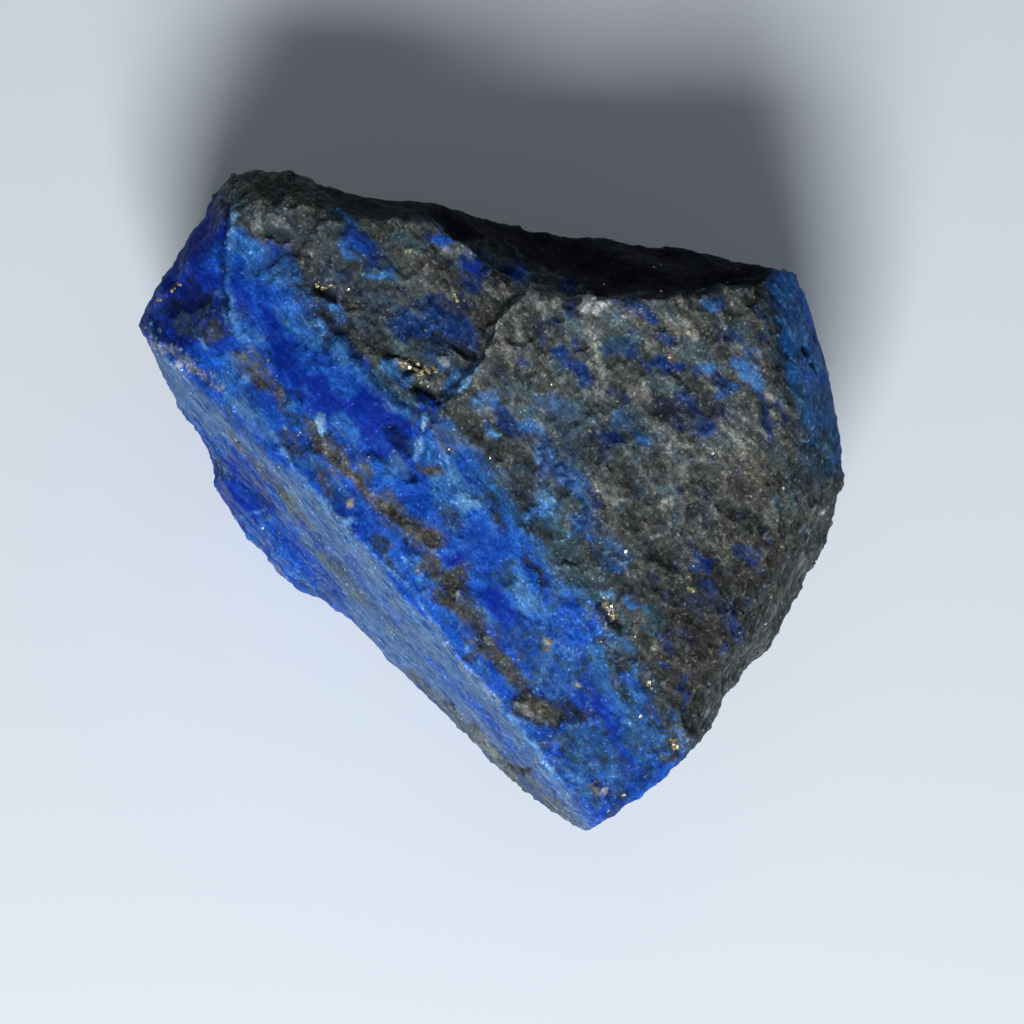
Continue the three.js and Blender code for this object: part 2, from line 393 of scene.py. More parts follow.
GROUND = (
    patch(ROYAL, 8, 1, (40, 150), (236, 214), (246, 232), (262, 264), (284, 292), (304, 322), (330, 350),
        (352, 368), (380, 402), (410, 424), (440, 416), (456, 436), (480, 462), (500, 486), (520, 520),
        (540, 552), (560, 574), (584, 600), (604, 640), (624, 664), (650, 700), (676, 744), (700, 800),
        (640, 900), (540, 900), (100, 500)),
    patch(MATRIX, 7, 1, (236, 150), (330, 150), (480, 170), (600, 240), (580, 290), (520, 300), (490, 330),
        (488, 352), (462, 380), (440, 412), (428, 414), (398, 396), (366, 360), (350, 344), (330, 318),
        (304, 282), (286, 252), (262, 240), (246, 226), (236, 200)),
    patch(MATRIX, 8, 1, (560, 240), (770, 220), (900, 240), (930, 480), (900, 600), (820, 760), (740, 860),
        (676, 744), (650, 700), (624, 664), (604, 640), (584, 600), (560, 574), (540, 552), (520, 520),
        (500, 486), (480, 462), (456, 436), (440, 414), (462, 380), (488, 352), (492, 328), (522, 300)),
    patch(ULTRAMARINE, 5, 1, (60, 330), (130, 230), (190, 190), (228, 196), (229, 260), (228, 300),
        (236, 330), (222, 347), (185, 347), (150, 347), (100, 360)),
    patch(LAPIS_SMOOTH, 4, 1, (762, 284), (772, 258), (800, 230), (900, 240), (920, 474), (834, 474),
        (812, 472), (804, 444), (800, 410), (786, 388), (784, 350), (776, 320), (768, 300)),
)

# The left end face, turned from the light: besides its deep blue, navy and near-black are laid over it as
# painted shade.
END_FACE = (
    cloud(NAVY, 0.50, 0.6, (130, 310), (160, 250), (220, 210), (228, 310), (200, 345), (150, 345)),
    patch(NAVY, 16, 0.45, (130, 300), (168, 250), (226, 250), (228, 318), (200, 345), (150, 345), (130, 325)),
    patch(DEEP_SHADOW, 14, 0.3, (170, 300), (226, 296), (226, 330), (180, 338)),
    streak(ROYAL, 12, 0.6, (200, 238), (208, 260)),
    streak(ROYAL, 10, 0.5, (172, 272), (190, 268)),
    patch(LIMESTONE, 8, 0.75, (200, 186), (240, 182), (233, 214), (226, 228), (214, 222), (204, 208)),
    streak(SLATE, 5, 0.6, (210, 222), (220, 230)),
    streak(NAVY, 9, 0.7, (178, 306), (230, 304)),
    patch(SLATE, 5, 0.85, (178, 310), (205, 306), (236, 308), (236, 334), (214, 344), (192, 338), (172, 326)),
    streak(UMBER, 6, 0.6, (204, 322), (213, 336)),
    streak(DEEP_SHADOW, 4, 0.5, (168, 300), (172, 312)),
    streak(PERIWINKLE, 5, 0.4, (140, 316), (150, 332), (158, 346)),
    streak(NAVY, 4, 0.7, (150, 318), (160, 334), (172, 342)),
    # Painted shadow on the shaded side of the end face's crease, and painted highlight on its lit side.
    streak(DEEP_SHADOW, 2.4, 0.8, (228, 204), (226, 240), (223, 280), (226, 316)),
    streak(SKY, 2.2, 1, (231, 214), (232, 236), (230, 258), (230, 290), (236, 318)),
    patch(ULTRAMARINE, 12, 0.8, (150, 280), (176, 236), (206, 212), (228, 212), (228, 290), (190, 300)),
    patch(DEEP_SHADOW, 12, 0.5, (156, 286), (172, 272), (196, 282), (214, 296), (206, 308), (180, 306), (162, 302)),
)

RIM_OUTLINE = (
    (234, 190), (246, 206), (262, 211), (292, 219), (304, 226), (300, 240), (282, 248), (262, 240),
    (244, 230), (232, 224)
)
RIM_TOP_OUTLINE = ((232, 190), (304, 220), (300, 244), (260, 244), (236, 226))
RIM_LEFT = (
    patch(MATRIX, 5, 0.95, *RIM_OUTLINE),
    patch(SLATE, 16, 0.3, *RIM_OUTLINE),
    streak(LIMESTONE, 6, 0.5, (246, 216), (262, 222)),
    streak(LIMESTONE, 4, 0.6, (280, 222), (296, 228)),
    streak(TEAL, 6, 0.7, (236, 196), (234, 215)),
    cloud(TEAL, 0.3, 0.5, *RIM_TOP_OUTLINE),
    cloud(UMBER, 0.25, 0.6, *RIM_TOP_OUTLINE),
)

BAND_OUTLINE = (
    (236, 220), (300, 300), (400, 400), (430, 440), (500, 490), (560, 580), (600, 640), (660, 740),
    (600, 810), (540, 740), (420, 590), (300, 470), (200, 350)
)
BAND_EDGE_OUTLINE = (
    (200, 350), (240, 330), (300, 400), (400, 500), (480, 590), (540, 690), (500, 720), (420, 640),
    (320, 520), (240, 430)
)
BAND = (
    cloud(AZURE, 0.25, 0.5, (236, 220), (300, 300), (400, 400), (430, 440), (500, 490), (560, 580),
        (600, 640), (540, 700), (420, 590), (300, 470), (200, 350)),
    cloud(NAVY, 0.14, 0.5, *BAND_OUTLINE),
    cloud(ULTRAMARINE, 0.22, 0.6, *BAND_OUTLINE),
    cloud(SKY, 0.10, 0.45, (236, 220), (300, 300), (400, 400), (430, 440), (500, 490), (560, 580), (600, 640),
        (640, 720), (600, 790), (540, 740), (420, 590), (300, 470), (200, 350)),
    cloud(SLATE, 0.22, 0.5, *BAND_EDGE_OUTLINE),
    cloud(TEAL, 0.20, 0.4, *BAND_EDGE_OUTLINE),
    streak(ROYAL, 22, 1, (238, 262), (262, 300), (300, 350), (345, 400), (395, 452)),
    streak(AZURE, 10, 0.9, (246, 246), (262, 256)),
    streak(AZURE, 13, 0.85, (256, 272), (280, 276), (300, 300)),
    streak(ULTRAMARINE, 9, 0.9, (232, 286), (246, 302)),
    streak(ULTRAMARINE, 12, 0.9, (264, 300), (270, 322), (280, 342)),
    streak(ROYAL, 10, 0.8, (266, 296), (298, 306)),
    streak(AZURE, 11, 0.85, (284, 316), (302, 330), (318, 334)),
    streak(ULTRAMARINE, 16, 0.95, (284, 356), (304, 384), (322, 402)),
    streak(AZURE, 8, 0.7, (236, 326), (248, 342)),
    streak(SLATE, 8, 0.5, (240, 318), (232, 306)),
    streak(AZURE, 10, 0.7, (338, 350), (362, 368), (384, 392), (408, 412)),
    streak(AZURE, 12, 0.55, (318, 356), (344, 384)),
    streak(ROYAL, 12, 0.7, (330, 366), (360, 400)),
    patch(ULTRAMARINE, 8, 0.95, (340, 402), (362, 388), (392, 402), (416, 424), (414, 454), (388, 474),
        (362, 446)),
    streak(NAVY, 7, 0.8, (388, 470), (372, 452)),
    streak(NAVY, 8, 0.9, (396, 430), (406, 448)),
)

BAND_FOOT = (
    streak(ULTRAMARINE, 12, 0.8, (316, 382), (338, 402)),
    streak(AZURE, 8, 0.6, (340, 420), (352, 432)),
    streak(ROYAL, 9, 0.7, (300, 352), (316, 364)),
    patch(OLIVE, 6, 0.6, (230, 352), (250, 344), (263, 354), (268, 372), (256, 386), (240, 382), (228, 368)),
    streak(UMBER, 4, 0.5, (246, 366), (256, 376)),
    streak(NAVY, 8, 0.6, (252, 390), (244, 396)),
    streak(OCHRE, 7, 0.9, (264, 384), (276, 392), (281, 406)),
    streak(UMBER, 5, 0.7, (258, 382), (268, 388)),
    streak(NAVY, 5, 0.8, (286, 392), (300, 396)),
    streak(AZURE, 7, 0.7, (284, 402), (292, 410)),
    streak(AZURE, 12, 0.6, (226, 372), (238, 400), (266, 426), (296, 452)),
    streak(PERIWINKLE, 8, 0.6, (244, 404), (262, 430)),
    streak(ROYAL, 10, 0.7, (262, 402), (276, 424), (300, 440)),
    streak(SLATE, 9, 0.6, (290, 420), (316, 436)),
    streak(OCHRE, 5, 0.5, (280, 434), (292, 446)),
    streak(SLATE, 10, 0.7, (312, 440), (330, 440)),
    streak(VEIN, 10, 0.75, (312, 432), (330, 452), (346, 466), (358, 482), (366, 496), (382, 506), (400, 522),
        (418, 534), (432, 545)),
    streak(ULTRAMARINE, 8, 0.7, (336, 478), (356, 496)),
    streak(NAVY, 6, 0.6, (322, 476), (330, 492)),
    streak(OCHRE, 4.5, 0.6, (322, 480), (328, 490)),
    streak(AZURE, 9, 0.6, (338, 484), (350, 506)),
    streak(ULTRAMARINE, 10, 0.7, (344, 514), (372, 536)),
    streak(ROYAL, 12, 0.7, (362, 512), (396, 546)),
    streak(SLATE, 8, 0.8, (382, 544), (394, 562)),
    streak(NAVY, 4, 0.7, (408, 540), (414, 560)),
    streak(AZURE, 8, 0.6, (396, 476), (384, 462)),
    streak(PERIWINKLE, 8, 0.6, (394, 464), (408, 474)),
    streak(ROYAL, 14, 0.8, (398, 492), (424, 506)),
    streak(SLATE, 5, 0.5, (388, 494), (402, 508)),
    streak(AZURE, 4, 0.7, (414, 560), (424, 590)),
)

BAND_MIDDLE = (
    streak(AZURE, 14, 0.8, (428, 444), (440, 474), (452, 498)),
    streak(OCHRE, 7, 0.8, (418, 470), (436, 469)),
    streak(OCHRE, 5, 0.7, (432, 426), (437, 440)),
    streak(OCHRE, 7, 0.6, (440, 424), (446, 446)),
    streak(ROYAL, 12, 0.7, (420, 490), (436, 520)),
    streak(SLATE, 12, 0.75, (446, 512), (466, 536)),
    streak(WARM, 7, 0.7, (430, 546), (434, 560), (440, 574)),
    streak(OCHRE, 4.5, 0.8, (422, 560), (436, 564)),
    streak(ULTRAMARINE, 9, 0.9, (452, 562), (478, 548)),
    streak(ROYAL, 10, 0.7, (444, 544), (470, 538)),
    streak(VEIN, 11, 0.75, (446, 592), (464, 612), (480, 630), (492, 646), (504, 662), (516, 678)),
    streak(VEIN, 3, 0.8, (466, 658), (476, 651), (492, 648)),
    streak(SLATE, 6, 0.7, (462, 588), (472, 600)),
    streak(AZURE, 15, 0.9, (454, 486), (470, 500), (482, 516)),
    streak(SKY, 8, 0.7, (458, 496), (474, 504)),
    streak(SKY, 6, 0.5, (446, 460), (452, 478)),
    streak(AZURE, 10, 0.85, (492, 470), (502, 496), (520, 520), (540, 546), (547, 562)),
    streak(SLATE, 6, 0.8, (488, 500), (500, 520), (504, 530)),
    streak(ROYAL, 14, 0.85, (478, 530), (506, 546), (524, 548)),
    streak(ROYAL, 15, 0.9, (482, 560), (490, 596)),
    streak(ULTRAMARINE, 15, 0.95, (492, 596), (508, 620), (510, 634)),
    streak(AZURE, 15, 0.9, (514, 578), (530, 600), (546, 624)),
    streak(SKY, 7, 0.6, (520, 588), (534, 606)),
    streak(NAVY, 3.6, 0.95, (521, 614), (534, 624), (547, 634)),
    streak(UMBER, 6, 0.8, (528, 560), (538, 574), (546, 594)),
    streak(SLATE, 8, 0.6, (556, 596), (562, 610)),
    streak(AZURE, 7, 0.8, (558, 578), (572, 592)),
    streak(SKY, 5, 0.8, (601, 598), (611, 600)),
    streak(ROYAL, 9, 0.8, (566, 604), (560, 624)),
)

TIP_OUTLINE = (
    (560, 560), (600, 590), (640, 640), (680, 690), (704, 740), (680, 770), (650, 740), (620, 690), (590, 640)
)
BAND_TIP = (
    streak(ROYAL, 16, 0.9, (582, 616), (590, 640), (600, 660)),
    streak(ROYAL, 24, 1, (520, 640), (560, 668), (592, 712), (604, 760)),
    scatter(SKY, 0.34, 0.5, (508, 638), (548, 628), (592, 652), (596, 700), (560, 704), (524, 682)),
    streak(ULTRAMARINE, 12, 0.7, (500, 604), (520, 650), (530, 660)),
    streak(PERIWINKLE, 7, 0.6, (540, 658), (548, 682)),
    streak(ULTRAMARINE, 14, 0.85, (584, 676), (600, 716), (622, 752)),
    scatter(SKY, 0.25, 0.5, (536, 720), (600, 716), (616, 770), (566, 780), (548, 752)),
    streak(VEIN, 3.5, 0.8, (540, 746), (558, 740), (574, 728)),
    streak(ULTRAMARINE, 14, 0.8, (620, 764), (600, 814)),
    streak(AZURE, 11, 0.85, (596, 652), (604, 676), (618, 704), (636, 720)),
    streak(MATRIX, 6, 0.85, (604, 660), (614, 684), (624, 704), (634, 720)),
    streak(TEAL, 10, 0.7, (638, 728), (664, 740)),
    streak(AZURE, 9, 0.6, (632, 744), (650, 768)),
    streak(UMBER, 6, 1, (656, 752), (666, 760)),
    streak(NAVY, 12, 0.5, (640, 780), (616, 808)),
    patch(TEAL, 22, 0.55, (556, 740), (600, 720), (640, 760), (628, 800), (596, 824), (566, 790)),
    patch(TEAL, 16, 0.45, (520, 690), (560, 700), (600, 740), (590, 770), (560, 744), (530, 722)),
    patch(TEAL, 14, 0.5, (600, 690), (640, 690), (668, 744), (640, 776), (620, 740)),
    patch(SLATE, 14, 0.35, (470, 600), (500, 640), (520, 680), (500, 684), (470, 640), (450, 606)),
    patch(TEAL, 20, 0.35, (520, 620), (600, 640), (610, 700), (540, 706), (500, 660)),
    cloud(TEAL, 0.30, 0.45, (470, 560), (520, 560), (600, 640), (600, 700), (520, 680), (460, 600)),
    cloud(OCHRE, 0.12, 0.6, (500, 680), (560, 690), (620, 760), (600, 810), (560, 780)),
    cloud(UMBER, 0.18, 0.6, (520, 700), (580, 700), (640, 760), (610, 810), (570, 780)),
    cloud(AZURE, 0.22, 0.5, (500, 640), (600, 640), (660, 740), (600, 810), (540, 740)),
    patch(TEAL, 18, 0.55, (604, 600), (640, 640), (680, 690), (704, 740), (680, 770), (650, 740), (620, 690),
        (596, 640)),
    cloud(AZURE, 0.40, 0.7, *TIP_OUTLINE),
    cloud(UMBER, 0.28, 0.6, *TIP_OUTLINE),
    cloud(OCHRE, 0.12, 0.5, *TIP_OUTLINE),
    cloud(SKY, 0.10, 0.5, *TIP_OUTLINE),
)

JOINT_FACE = (
    # The joint face's periwinkle is partly its own pale blue and partly painted sheen of its smooth face,
    # seen at a grazing angle.
    patch(PERIWINKLE, 3, 1, (140, 344), (152, 344), (225, 388), (263, 424), (345, 525), (416, 596),
        (463, 667), (522, 730), (570, 795), (596, 836), (574, 838), (556, 818), (516, 782), (466, 744),
        (426, 698), (398, 670), (354, 622), (342, 592), (322, 569), (302, 543), (288, 514), (264, 480),
        (240, 452), (216, 440), (193, 428), (160, 392), (134, 344)),
    streak(OLIVE, 5, 0.8, (238, 444), (266, 474), (291, 504), (308, 534), (330, 562), (354, 590), (376, 608)),
    patch(OLIVE, 8, 1, (392, 664), (420, 676), (450, 704), (484, 734), (520, 764), (552, 794), (580, 826),
        (556, 830), (516, 800), (466, 760), (420, 712), (392, 684)),
    patch(SLATE, 16, 0.2, (470, 690), (520, 720), (560, 776), (600, 838), (556, 826), (500, 770)),
    streak(LIMESTONE, 4, 0.6, (440, 698), (460, 716)),
    streak(LIMESTONE, 4, 0.6, (470, 728), (500, 752)),
    streak(ROYAL, 3, 0.9, (300, 526), (318, 544), (334, 554)),
    streak(ROYAL, 3, 0.8, (242, 446), (256, 452)),
    streak(ROYAL, 4, 0.7, (162, 392), (190, 424), (212, 444)),
    streak(ROYAL, 3, 0.7, (404, 612), (420, 634)),
    streak(ROYAL, 3.5, 0.8, (420, 654), (448, 680), (474, 704), (512, 738)),
    streak(ROYAL, 6, 0.6, (490, 720), (520, 756), (552, 790)),
    streak(ROYAL, 5, 0.5, (350, 560), (372, 590), (400, 620)),
    streak(SLATE, 2, 0.6, (226, 408), (260, 450), (280, 470)),
    streak(SLATE, 2, 0.5, (250, 420), (300, 480), (340, 530)),
    streak(SLATE, 2, 0.6, (330, 556), (372, 600), (404, 634)),
    streak(SKY, 2.5, 0.6, (276, 448), (320, 500), (356, 548)),
    streak(SKY, 3, 0.5, (400, 600), (430, 640)),
    streak(OCHRE, 1.4, 0.8, (228, 430), (250, 462), (272, 486), (286, 498)),
    streak(OCHRE, 1.4, 0.6, (310, 532), (318, 537)),
    streak(UMBER, 1.6, 0.9, (446, 700), (451, 704)),
    streak(UMBER, 1.6, 0.9, (470, 724), (474, 727)),
    streak(UMBER, 1.6, 0.9, (508, 762), (513, 766)),
    streak(UMBER, 1.6, 0.9, (520, 769), (524, 772)),
    streak(UMBER, 1.6, 0.9, (552, 790), (555, 793)),
)

FOOT = (
    patch(ROYAL, 4, 1, (212, 436), (240, 450), (264, 480), (288, 514), (302, 543), (322, 569), (342, 592),
        (354, 622), (300, 600), (270, 572), (246, 546), (234, 524), (214, 500), (206, 470)),
    patch(ULTRAMARINE, 6, 0.9, (212, 462), (236, 452), (262, 480), (284, 512), (240, 516), (220, 502)),
    streak(NAVY, 9, 0.75, (250, 484), (268, 500)),
    streak(TEAL, 6, 0.8, (218, 462), (226, 476)),
    streak(AZURE, 4, 0.8, (216, 444), (224, 450)),
    streak(AZURE, 10, 0.25, (262, 536), (280, 556)),
    streak(AZURE, 4, 0.35, (250, 526), (276, 520)),
    streak(SKY, 1.6, 0.6, (238, 516), (262, 510)),
    streak(TEAL, 2.5, 0.7, (262, 516), (286, 514)),
    streak(SKY, 1.4, 0.7, (248, 544), (276, 570), (284, 582)),
    streak(TEAL, 5, 0.5, (300, 580), (330, 602)),
    cloud(ULTRAMARINE, 0.30, 0.6, (214, 450), (260, 470), (300, 560), (280, 575), (240, 530), (212, 490)),
    cloud(AZURE, 0.10, 0.3, (214, 440), (260, 470), (300, 560), (340, 610), (280, 575), (240, 530),
        (212, 490)),
)

HOLLOW_OUTLINE = ((300, 226), (420, 222), (520, 262), (500, 330), (460, 360), (400, 350), (330, 318))
HOLLOW = (
    cloud(UMBER, 0.22, 0.5, *HOLLOW_OUTLINE),
    cloud(SLATE, 0.34, 0.4, *HOLLOW_OUTLINE),
    cloud(LIMESTONE, 0.24, 0.45, (290, 220), (420, 222), (520, 262), (500, 330), (440, 300), (330, 318)),
    cloud(TEAL, 0.24, 0.5, (300, 226), (420, 222), (520, 262), (500, 330), (460, 400), (400, 390),
        (330, 318)),
    cloud(LAZURITE, 0.14, 0.6, (330, 220), (420, 222), (520, 262), (500, 330), (460, 370), (400, 350),
        (340, 300)),
    streak(SLATE, 16, 0.35, (300, 240), (330, 262), (352, 290)),
    streak(LIMESTONE, 5, 0.5, (296, 244), (320, 258)),
    streak(SLATE, 12, 0.7, (286, 262), (308, 282), (320, 306)),
    streak(AZURE, 8, 0.6, (284, 258), (296, 270)),
    streak(TEAL, 12, 0.8, (330, 214), (352, 226)),
    streak(AZURE, 6, 0.6, (334, 210), (350, 216)),
    streak(LAZURITE, 12, 0.8, (350, 234), (372, 256)),
    streak(ROYAL, 6, 0.8, (354, 238), (368, 252)),
    streak(AZURE, 9, 0.7, (344, 248), (348, 256)),
    streak(TEAL, 10, 0.7, (360, 278), (382, 274), (400, 264)),
    streak(AZURE, 5, 0.7, (366, 275), (390, 270)),
    streak(SLATE, 12, 0.7, (366, 294), (386, 306), (404, 322)),
    streak(UMBER, 10, 0.85, (382, 230), (416, 238)),
    streak(TEAL, 6, 0.7, (396, 238), (436, 252)),
    streak(LIMESTONE, 6, 0.95, (444, 250), (462, 250), (474, 246)),
    streak(ROYAL, 5, 0.9, (440, 240), (450, 239)),
    streak(LAZURITE, 10, 0.9, (466, 256), (482, 272)),
    streak(ULTRAMARINE, 5, 0.7, (470, 260), (478, 268)),
    streak(LAZURITE, 7, 0.9, (458, 284), (474, 287)),
    streak(PERIWINKLE, 5, 0.5, (486, 254), (500, 258)),
    streak(LAZURITE, 11, 0.9, (512, 266), (524, 286)),
    streak(ROYAL, 5, 0.7, (516, 270), (520, 282)),
    streak(SKY, 3, 0.6, (516, 284), (524, 276)),
    streak(NAVY, 6, 0.7, (504, 268), (506, 276)),
    streak(UMBER, 13, 0.85, (430, 262), (446, 282)),
    streak(UMBER, 12, 0.9, (500, 284), (488, 306), (480, 326)),
    streak(WARM, 9, 0.7, (400, 254), (420, 270)),
    streak(WARM, 8, 0.5, (410, 286), (430, 290)),
    scatter(LIMESTONE, 0.12, 0.4, (380, 246), (440, 250), (450, 300), (400, 320), (370, 290)),
    streak(OLIVE, 6, 0.5, (452, 292), (470, 302)),
    streak(UMBER, 8, 0.6, (456, 300), (476, 314)),
    streak(LAZURITE, 14, 0.85, (404, 328), (424, 312)),
    streak(LAZURITE, 13, 0.85, (430, 322), (450, 334)),
    streak(LAZURITE, 12, 0.85, (456, 320), (470, 340)),
    streak(NAVY, 9, 0.7, (438, 302), (456, 306)),
    # Painted shadow along the foot of the plateau's wall.
    streak(DEEP_SHADOW, 3.6, 0.9, (438, 332), (456, 344), (470, 356)),
    streak(SLATE, 10, 0.6, (428, 346), (446, 350)),
    streak(AZURE, 5, 0.5, (424, 357), (440, 366)),
    streak(CALCITE, 1.6, 0.8, (441, 358), (443, 360)),
    # Painted highlight along the lit lip of the plateau, and pale colour laid on its shaded wall as painted
    # light.
    streak(AZURE, 6, 0.9, (448, 390), (456, 378), (462, 372)),
    streak(SKY, 3.5, 0.9, (446, 396), (457, 390), (472, 374), (486, 358)),
    streak(OLIVE, 4, 0.8, (524, 282), (508, 296), (496, 311), (490, 328), (485, 344), (478, 354)),
    streak(SKY, 3, 0.6, (478, 354), (470, 366), (460, 376)),
    streak(LIMESTONE, 3.5, 1, (530, 286), (516, 300), (504, 314), (498, 328), (494, 344), (487, 356)),
)

HOLLOW_EDGE = (
    # Near-black painted shadow in the groove and pits along the band's edge.
    streak(DEEP_SHADOW, 4.2, 1, (388, 350), (398, 360), (412, 368), (428, 372)),
    streak(DEEP_SHADOW, 3.6, 1, (420, 388), (428, 394), (440, 400)),
    streak(LIMESTONE, 5, 0.6, (424, 382), (438, 386)),
    streak(CREAM, 2.2, 0.9, (396, 358), (406, 364)),
    streak(CREAM, 2.4, 0.9, (412, 370), (422, 374)),
    streak(AZURE, 7, 0.75, (388, 366), (404, 384)),
    streak(TEAL, 9, 0.85, (372, 372), (388, 392), (412, 404)),
    streak(NAVY, 5, 0.9, (374, 380), (392, 398), (418, 412), (428, 416)),
    streak(ROYAL, 6, 0.8, (424, 400), (434, 404)),
    streak(UMBER, 6, 0.85, (326, 316), (338, 330), (352, 344)),
    streak(NAVY, 5, 0.8, (340, 330), (356, 352), (374, 376)),
    streak(AZURE, 6, 0.75, (330, 302), (336, 314)),
    # Painted shadow in a pit.
    streak(DEEP_SHADOW, 5, 1, (318, 284), (326, 290), (332, 297)),
    streak(WARM, 8, 0.5, (344, 292), (356, 306)),
    streak(AZURE, 9, 0.5, (318, 336), (340, 346)),
)

PLATEAU_OUTLINE = (
    (480, 290), (600, 280), (770, 290), (800, 420), (840, 500), (800, 620), (700, 760), (620, 650),
    (540, 540), (470, 420)
)
PLATEAU = (
    patch(WARM, 24, 0.3, (560, 310), (620, 300), (700, 306), (760, 310), (776, 380), (700, 380), (640, 340),
        (590, 330)),
    patch(LIMESTONE, 40, 0.10, (650, 440), (700, 424), (770, 410), (786, 470), (770, 520), (700, 540),
        (650, 510)),
    patch(LIMESTONE, 40, 0.12, (486, 320), (560, 300), (640, 310), (700, 370), (700, 450), (640, 470),
        (560, 430), (480, 400)),
    patch(UMBER, 34, 0.35, (690, 450), (790, 440), (806, 560), (700, 580)),
    patch(UMBER, 44, 0.9, (740, 520), (806, 530), (790, 620), (740, 700), (690, 750), (656, 700), (640, 660),
        (650, 590), (700, 560)),
    patch(TEAL, 40, 0.6, (500, 386), (560, 390), (610, 420), (600, 480), (570, 520), (600, 570), (566, 586),
        (530, 540), (500, 480), (470, 440)),
    patch(LAZURITE, 30, 0.4, (520, 430), (570, 430), (590, 480), (560, 510), (530, 480)),
    cloud(WARM, 0.24, 0.5, *PLATEAU_OUTLINE),
    cloud(UMBER, 0.25, 0.55, *PLATEAU_OUTLINE),
    cloud(LIMESTONE, 0.24, 0.4, (490, 290), (600, 280), (770, 290), (800, 420), (836, 500), (790, 560),
        (700, 550), (600, 540), (530, 500), (470, 420)),
    cloud(LIMESTONE, 0.40, 0.45, (490, 290), (600, 280), (770, 290), (786, 380), (700, 430), (600, 450),
        (530, 470), (470, 420)),
    cloud(TEAL, 0.28, 0.55, (480, 380), (560, 300), (660, 300), (780, 300), (790, 420), (700, 460),
        (640, 560), (620, 640), (540, 540)),
    cloud(LAZURITE, 0.12, 0.6, (480, 380), (560, 300), (660, 300), (780, 300), (790, 420), (760, 640),
        (700, 740), (600, 600), (540, 540)),
    cloud(LIMESTONE, 0.12, 0.25, (600, 560), (700, 540), (800, 560), (760, 660), (700, 740), (640, 680)),
    cloud(CREAM, 0.06, 0.5, (490, 290), (600, 280), (770, 290), (800, 420), (780, 520), (640, 520),
        (530, 480), (470, 410)),
    streak(LIMESTONE, 10, 0.6, (530, 290), (548, 300)),
    streak(WARM, 14, 0.5, (500, 322), (512, 346), (500, 370)),
    streak(LIMESTONE, 6, 0.6, (506, 310), (520, 334)),
    scatter(LIMESTONE, 0.12, 0.35, (490, 320), (560, 296), (640, 310), (720, 300), (760, 310), (770, 420),
        (740, 460), (640, 440), (560, 400), (500, 380)),
    patch(LIMESTONE, 6, 0.8, (576, 288), (600, 291), (613, 303), (604, 318), (586, 314)),
    scatter(CALCITE, 0.6, 0.9, (578, 290), (600, 291), (612, 303), (598, 313), (582, 308)),
    streak(LAZURITE, 7, 0.95, (566, 282), (574, 292)),
    scatter(CREAM, 0.5, 0.7, (580, 312), (594, 312), (600, 336), (606, 372), (606, 400), (596, 400),
        (592, 366), (584, 340)),
    streak(LIMESTONE, 7, 0.6, (588, 326), (591, 342)),
    streak(LIMESTONE, 3.5, 0.6, (594, 350), (600, 372), (602, 396)),
    streak(UMBER, 7, 0.6, (606, 366), (616, 392)),
    streak(LAZURITE, 7, 0.95, (635, 304), (644, 318)),
    streak(LAZURITE, 9, 0.9, (610, 346), (630, 350)),
    streak(TEAL, 9, 0.6, (606, 340), (634, 342)),
    streak(LAZURITE, 8, 0.95, (560, 352), (574, 368), (584, 382)),
    streak(LAZURITE, 5, 0.9, (582, 366), (590, 376)),
    streak(LAZURITE, 7, 1, (662, 362), (676, 368)),
    streak(NAVY, 6, 0.95, (660, 404), (672, 408)),
    streak(LAZURITE, 8, 0.85, (684, 400), (696, 416), (706, 432)),
    streak(NAVY, 6, 0.7, (716, 322), (726, 336)),
    streak(AZURE, 6, 0.7, (706, 308), (716, 302)),
    streak(AZURE, 6, 0.75, (736, 362), (748, 376), (758, 388)),
    streak(AZURE, 7, 0.6, (704, 374), (716, 368)),
    streak(AZURE, 6, 0.7, (722, 392), (734, 386)),
    streak(LAZURITE, 5, 0.7, (720, 380), (724, 392)),
    streak(LAZURITE, 5, 0.7, (766, 412), (770, 438)),
    streak(UMBER, 12, 0.55, (644, 404), (690, 416)),
    streak(UMBER, 8, 0.6, (700, 400), (718, 410)),
    streak(LIMESTONE, 11, 0.6, (738, 422), (752, 434)),
    streak(LIMESTONE, 16, 0.25, (684, 468), (720, 452), (744, 452)),
    streak(WARM, 18, 0.4, (700, 480), (740, 470)),
    streak(TEAL, 8, 0.6, (768, 300), (774, 330), (784, 360)),
)

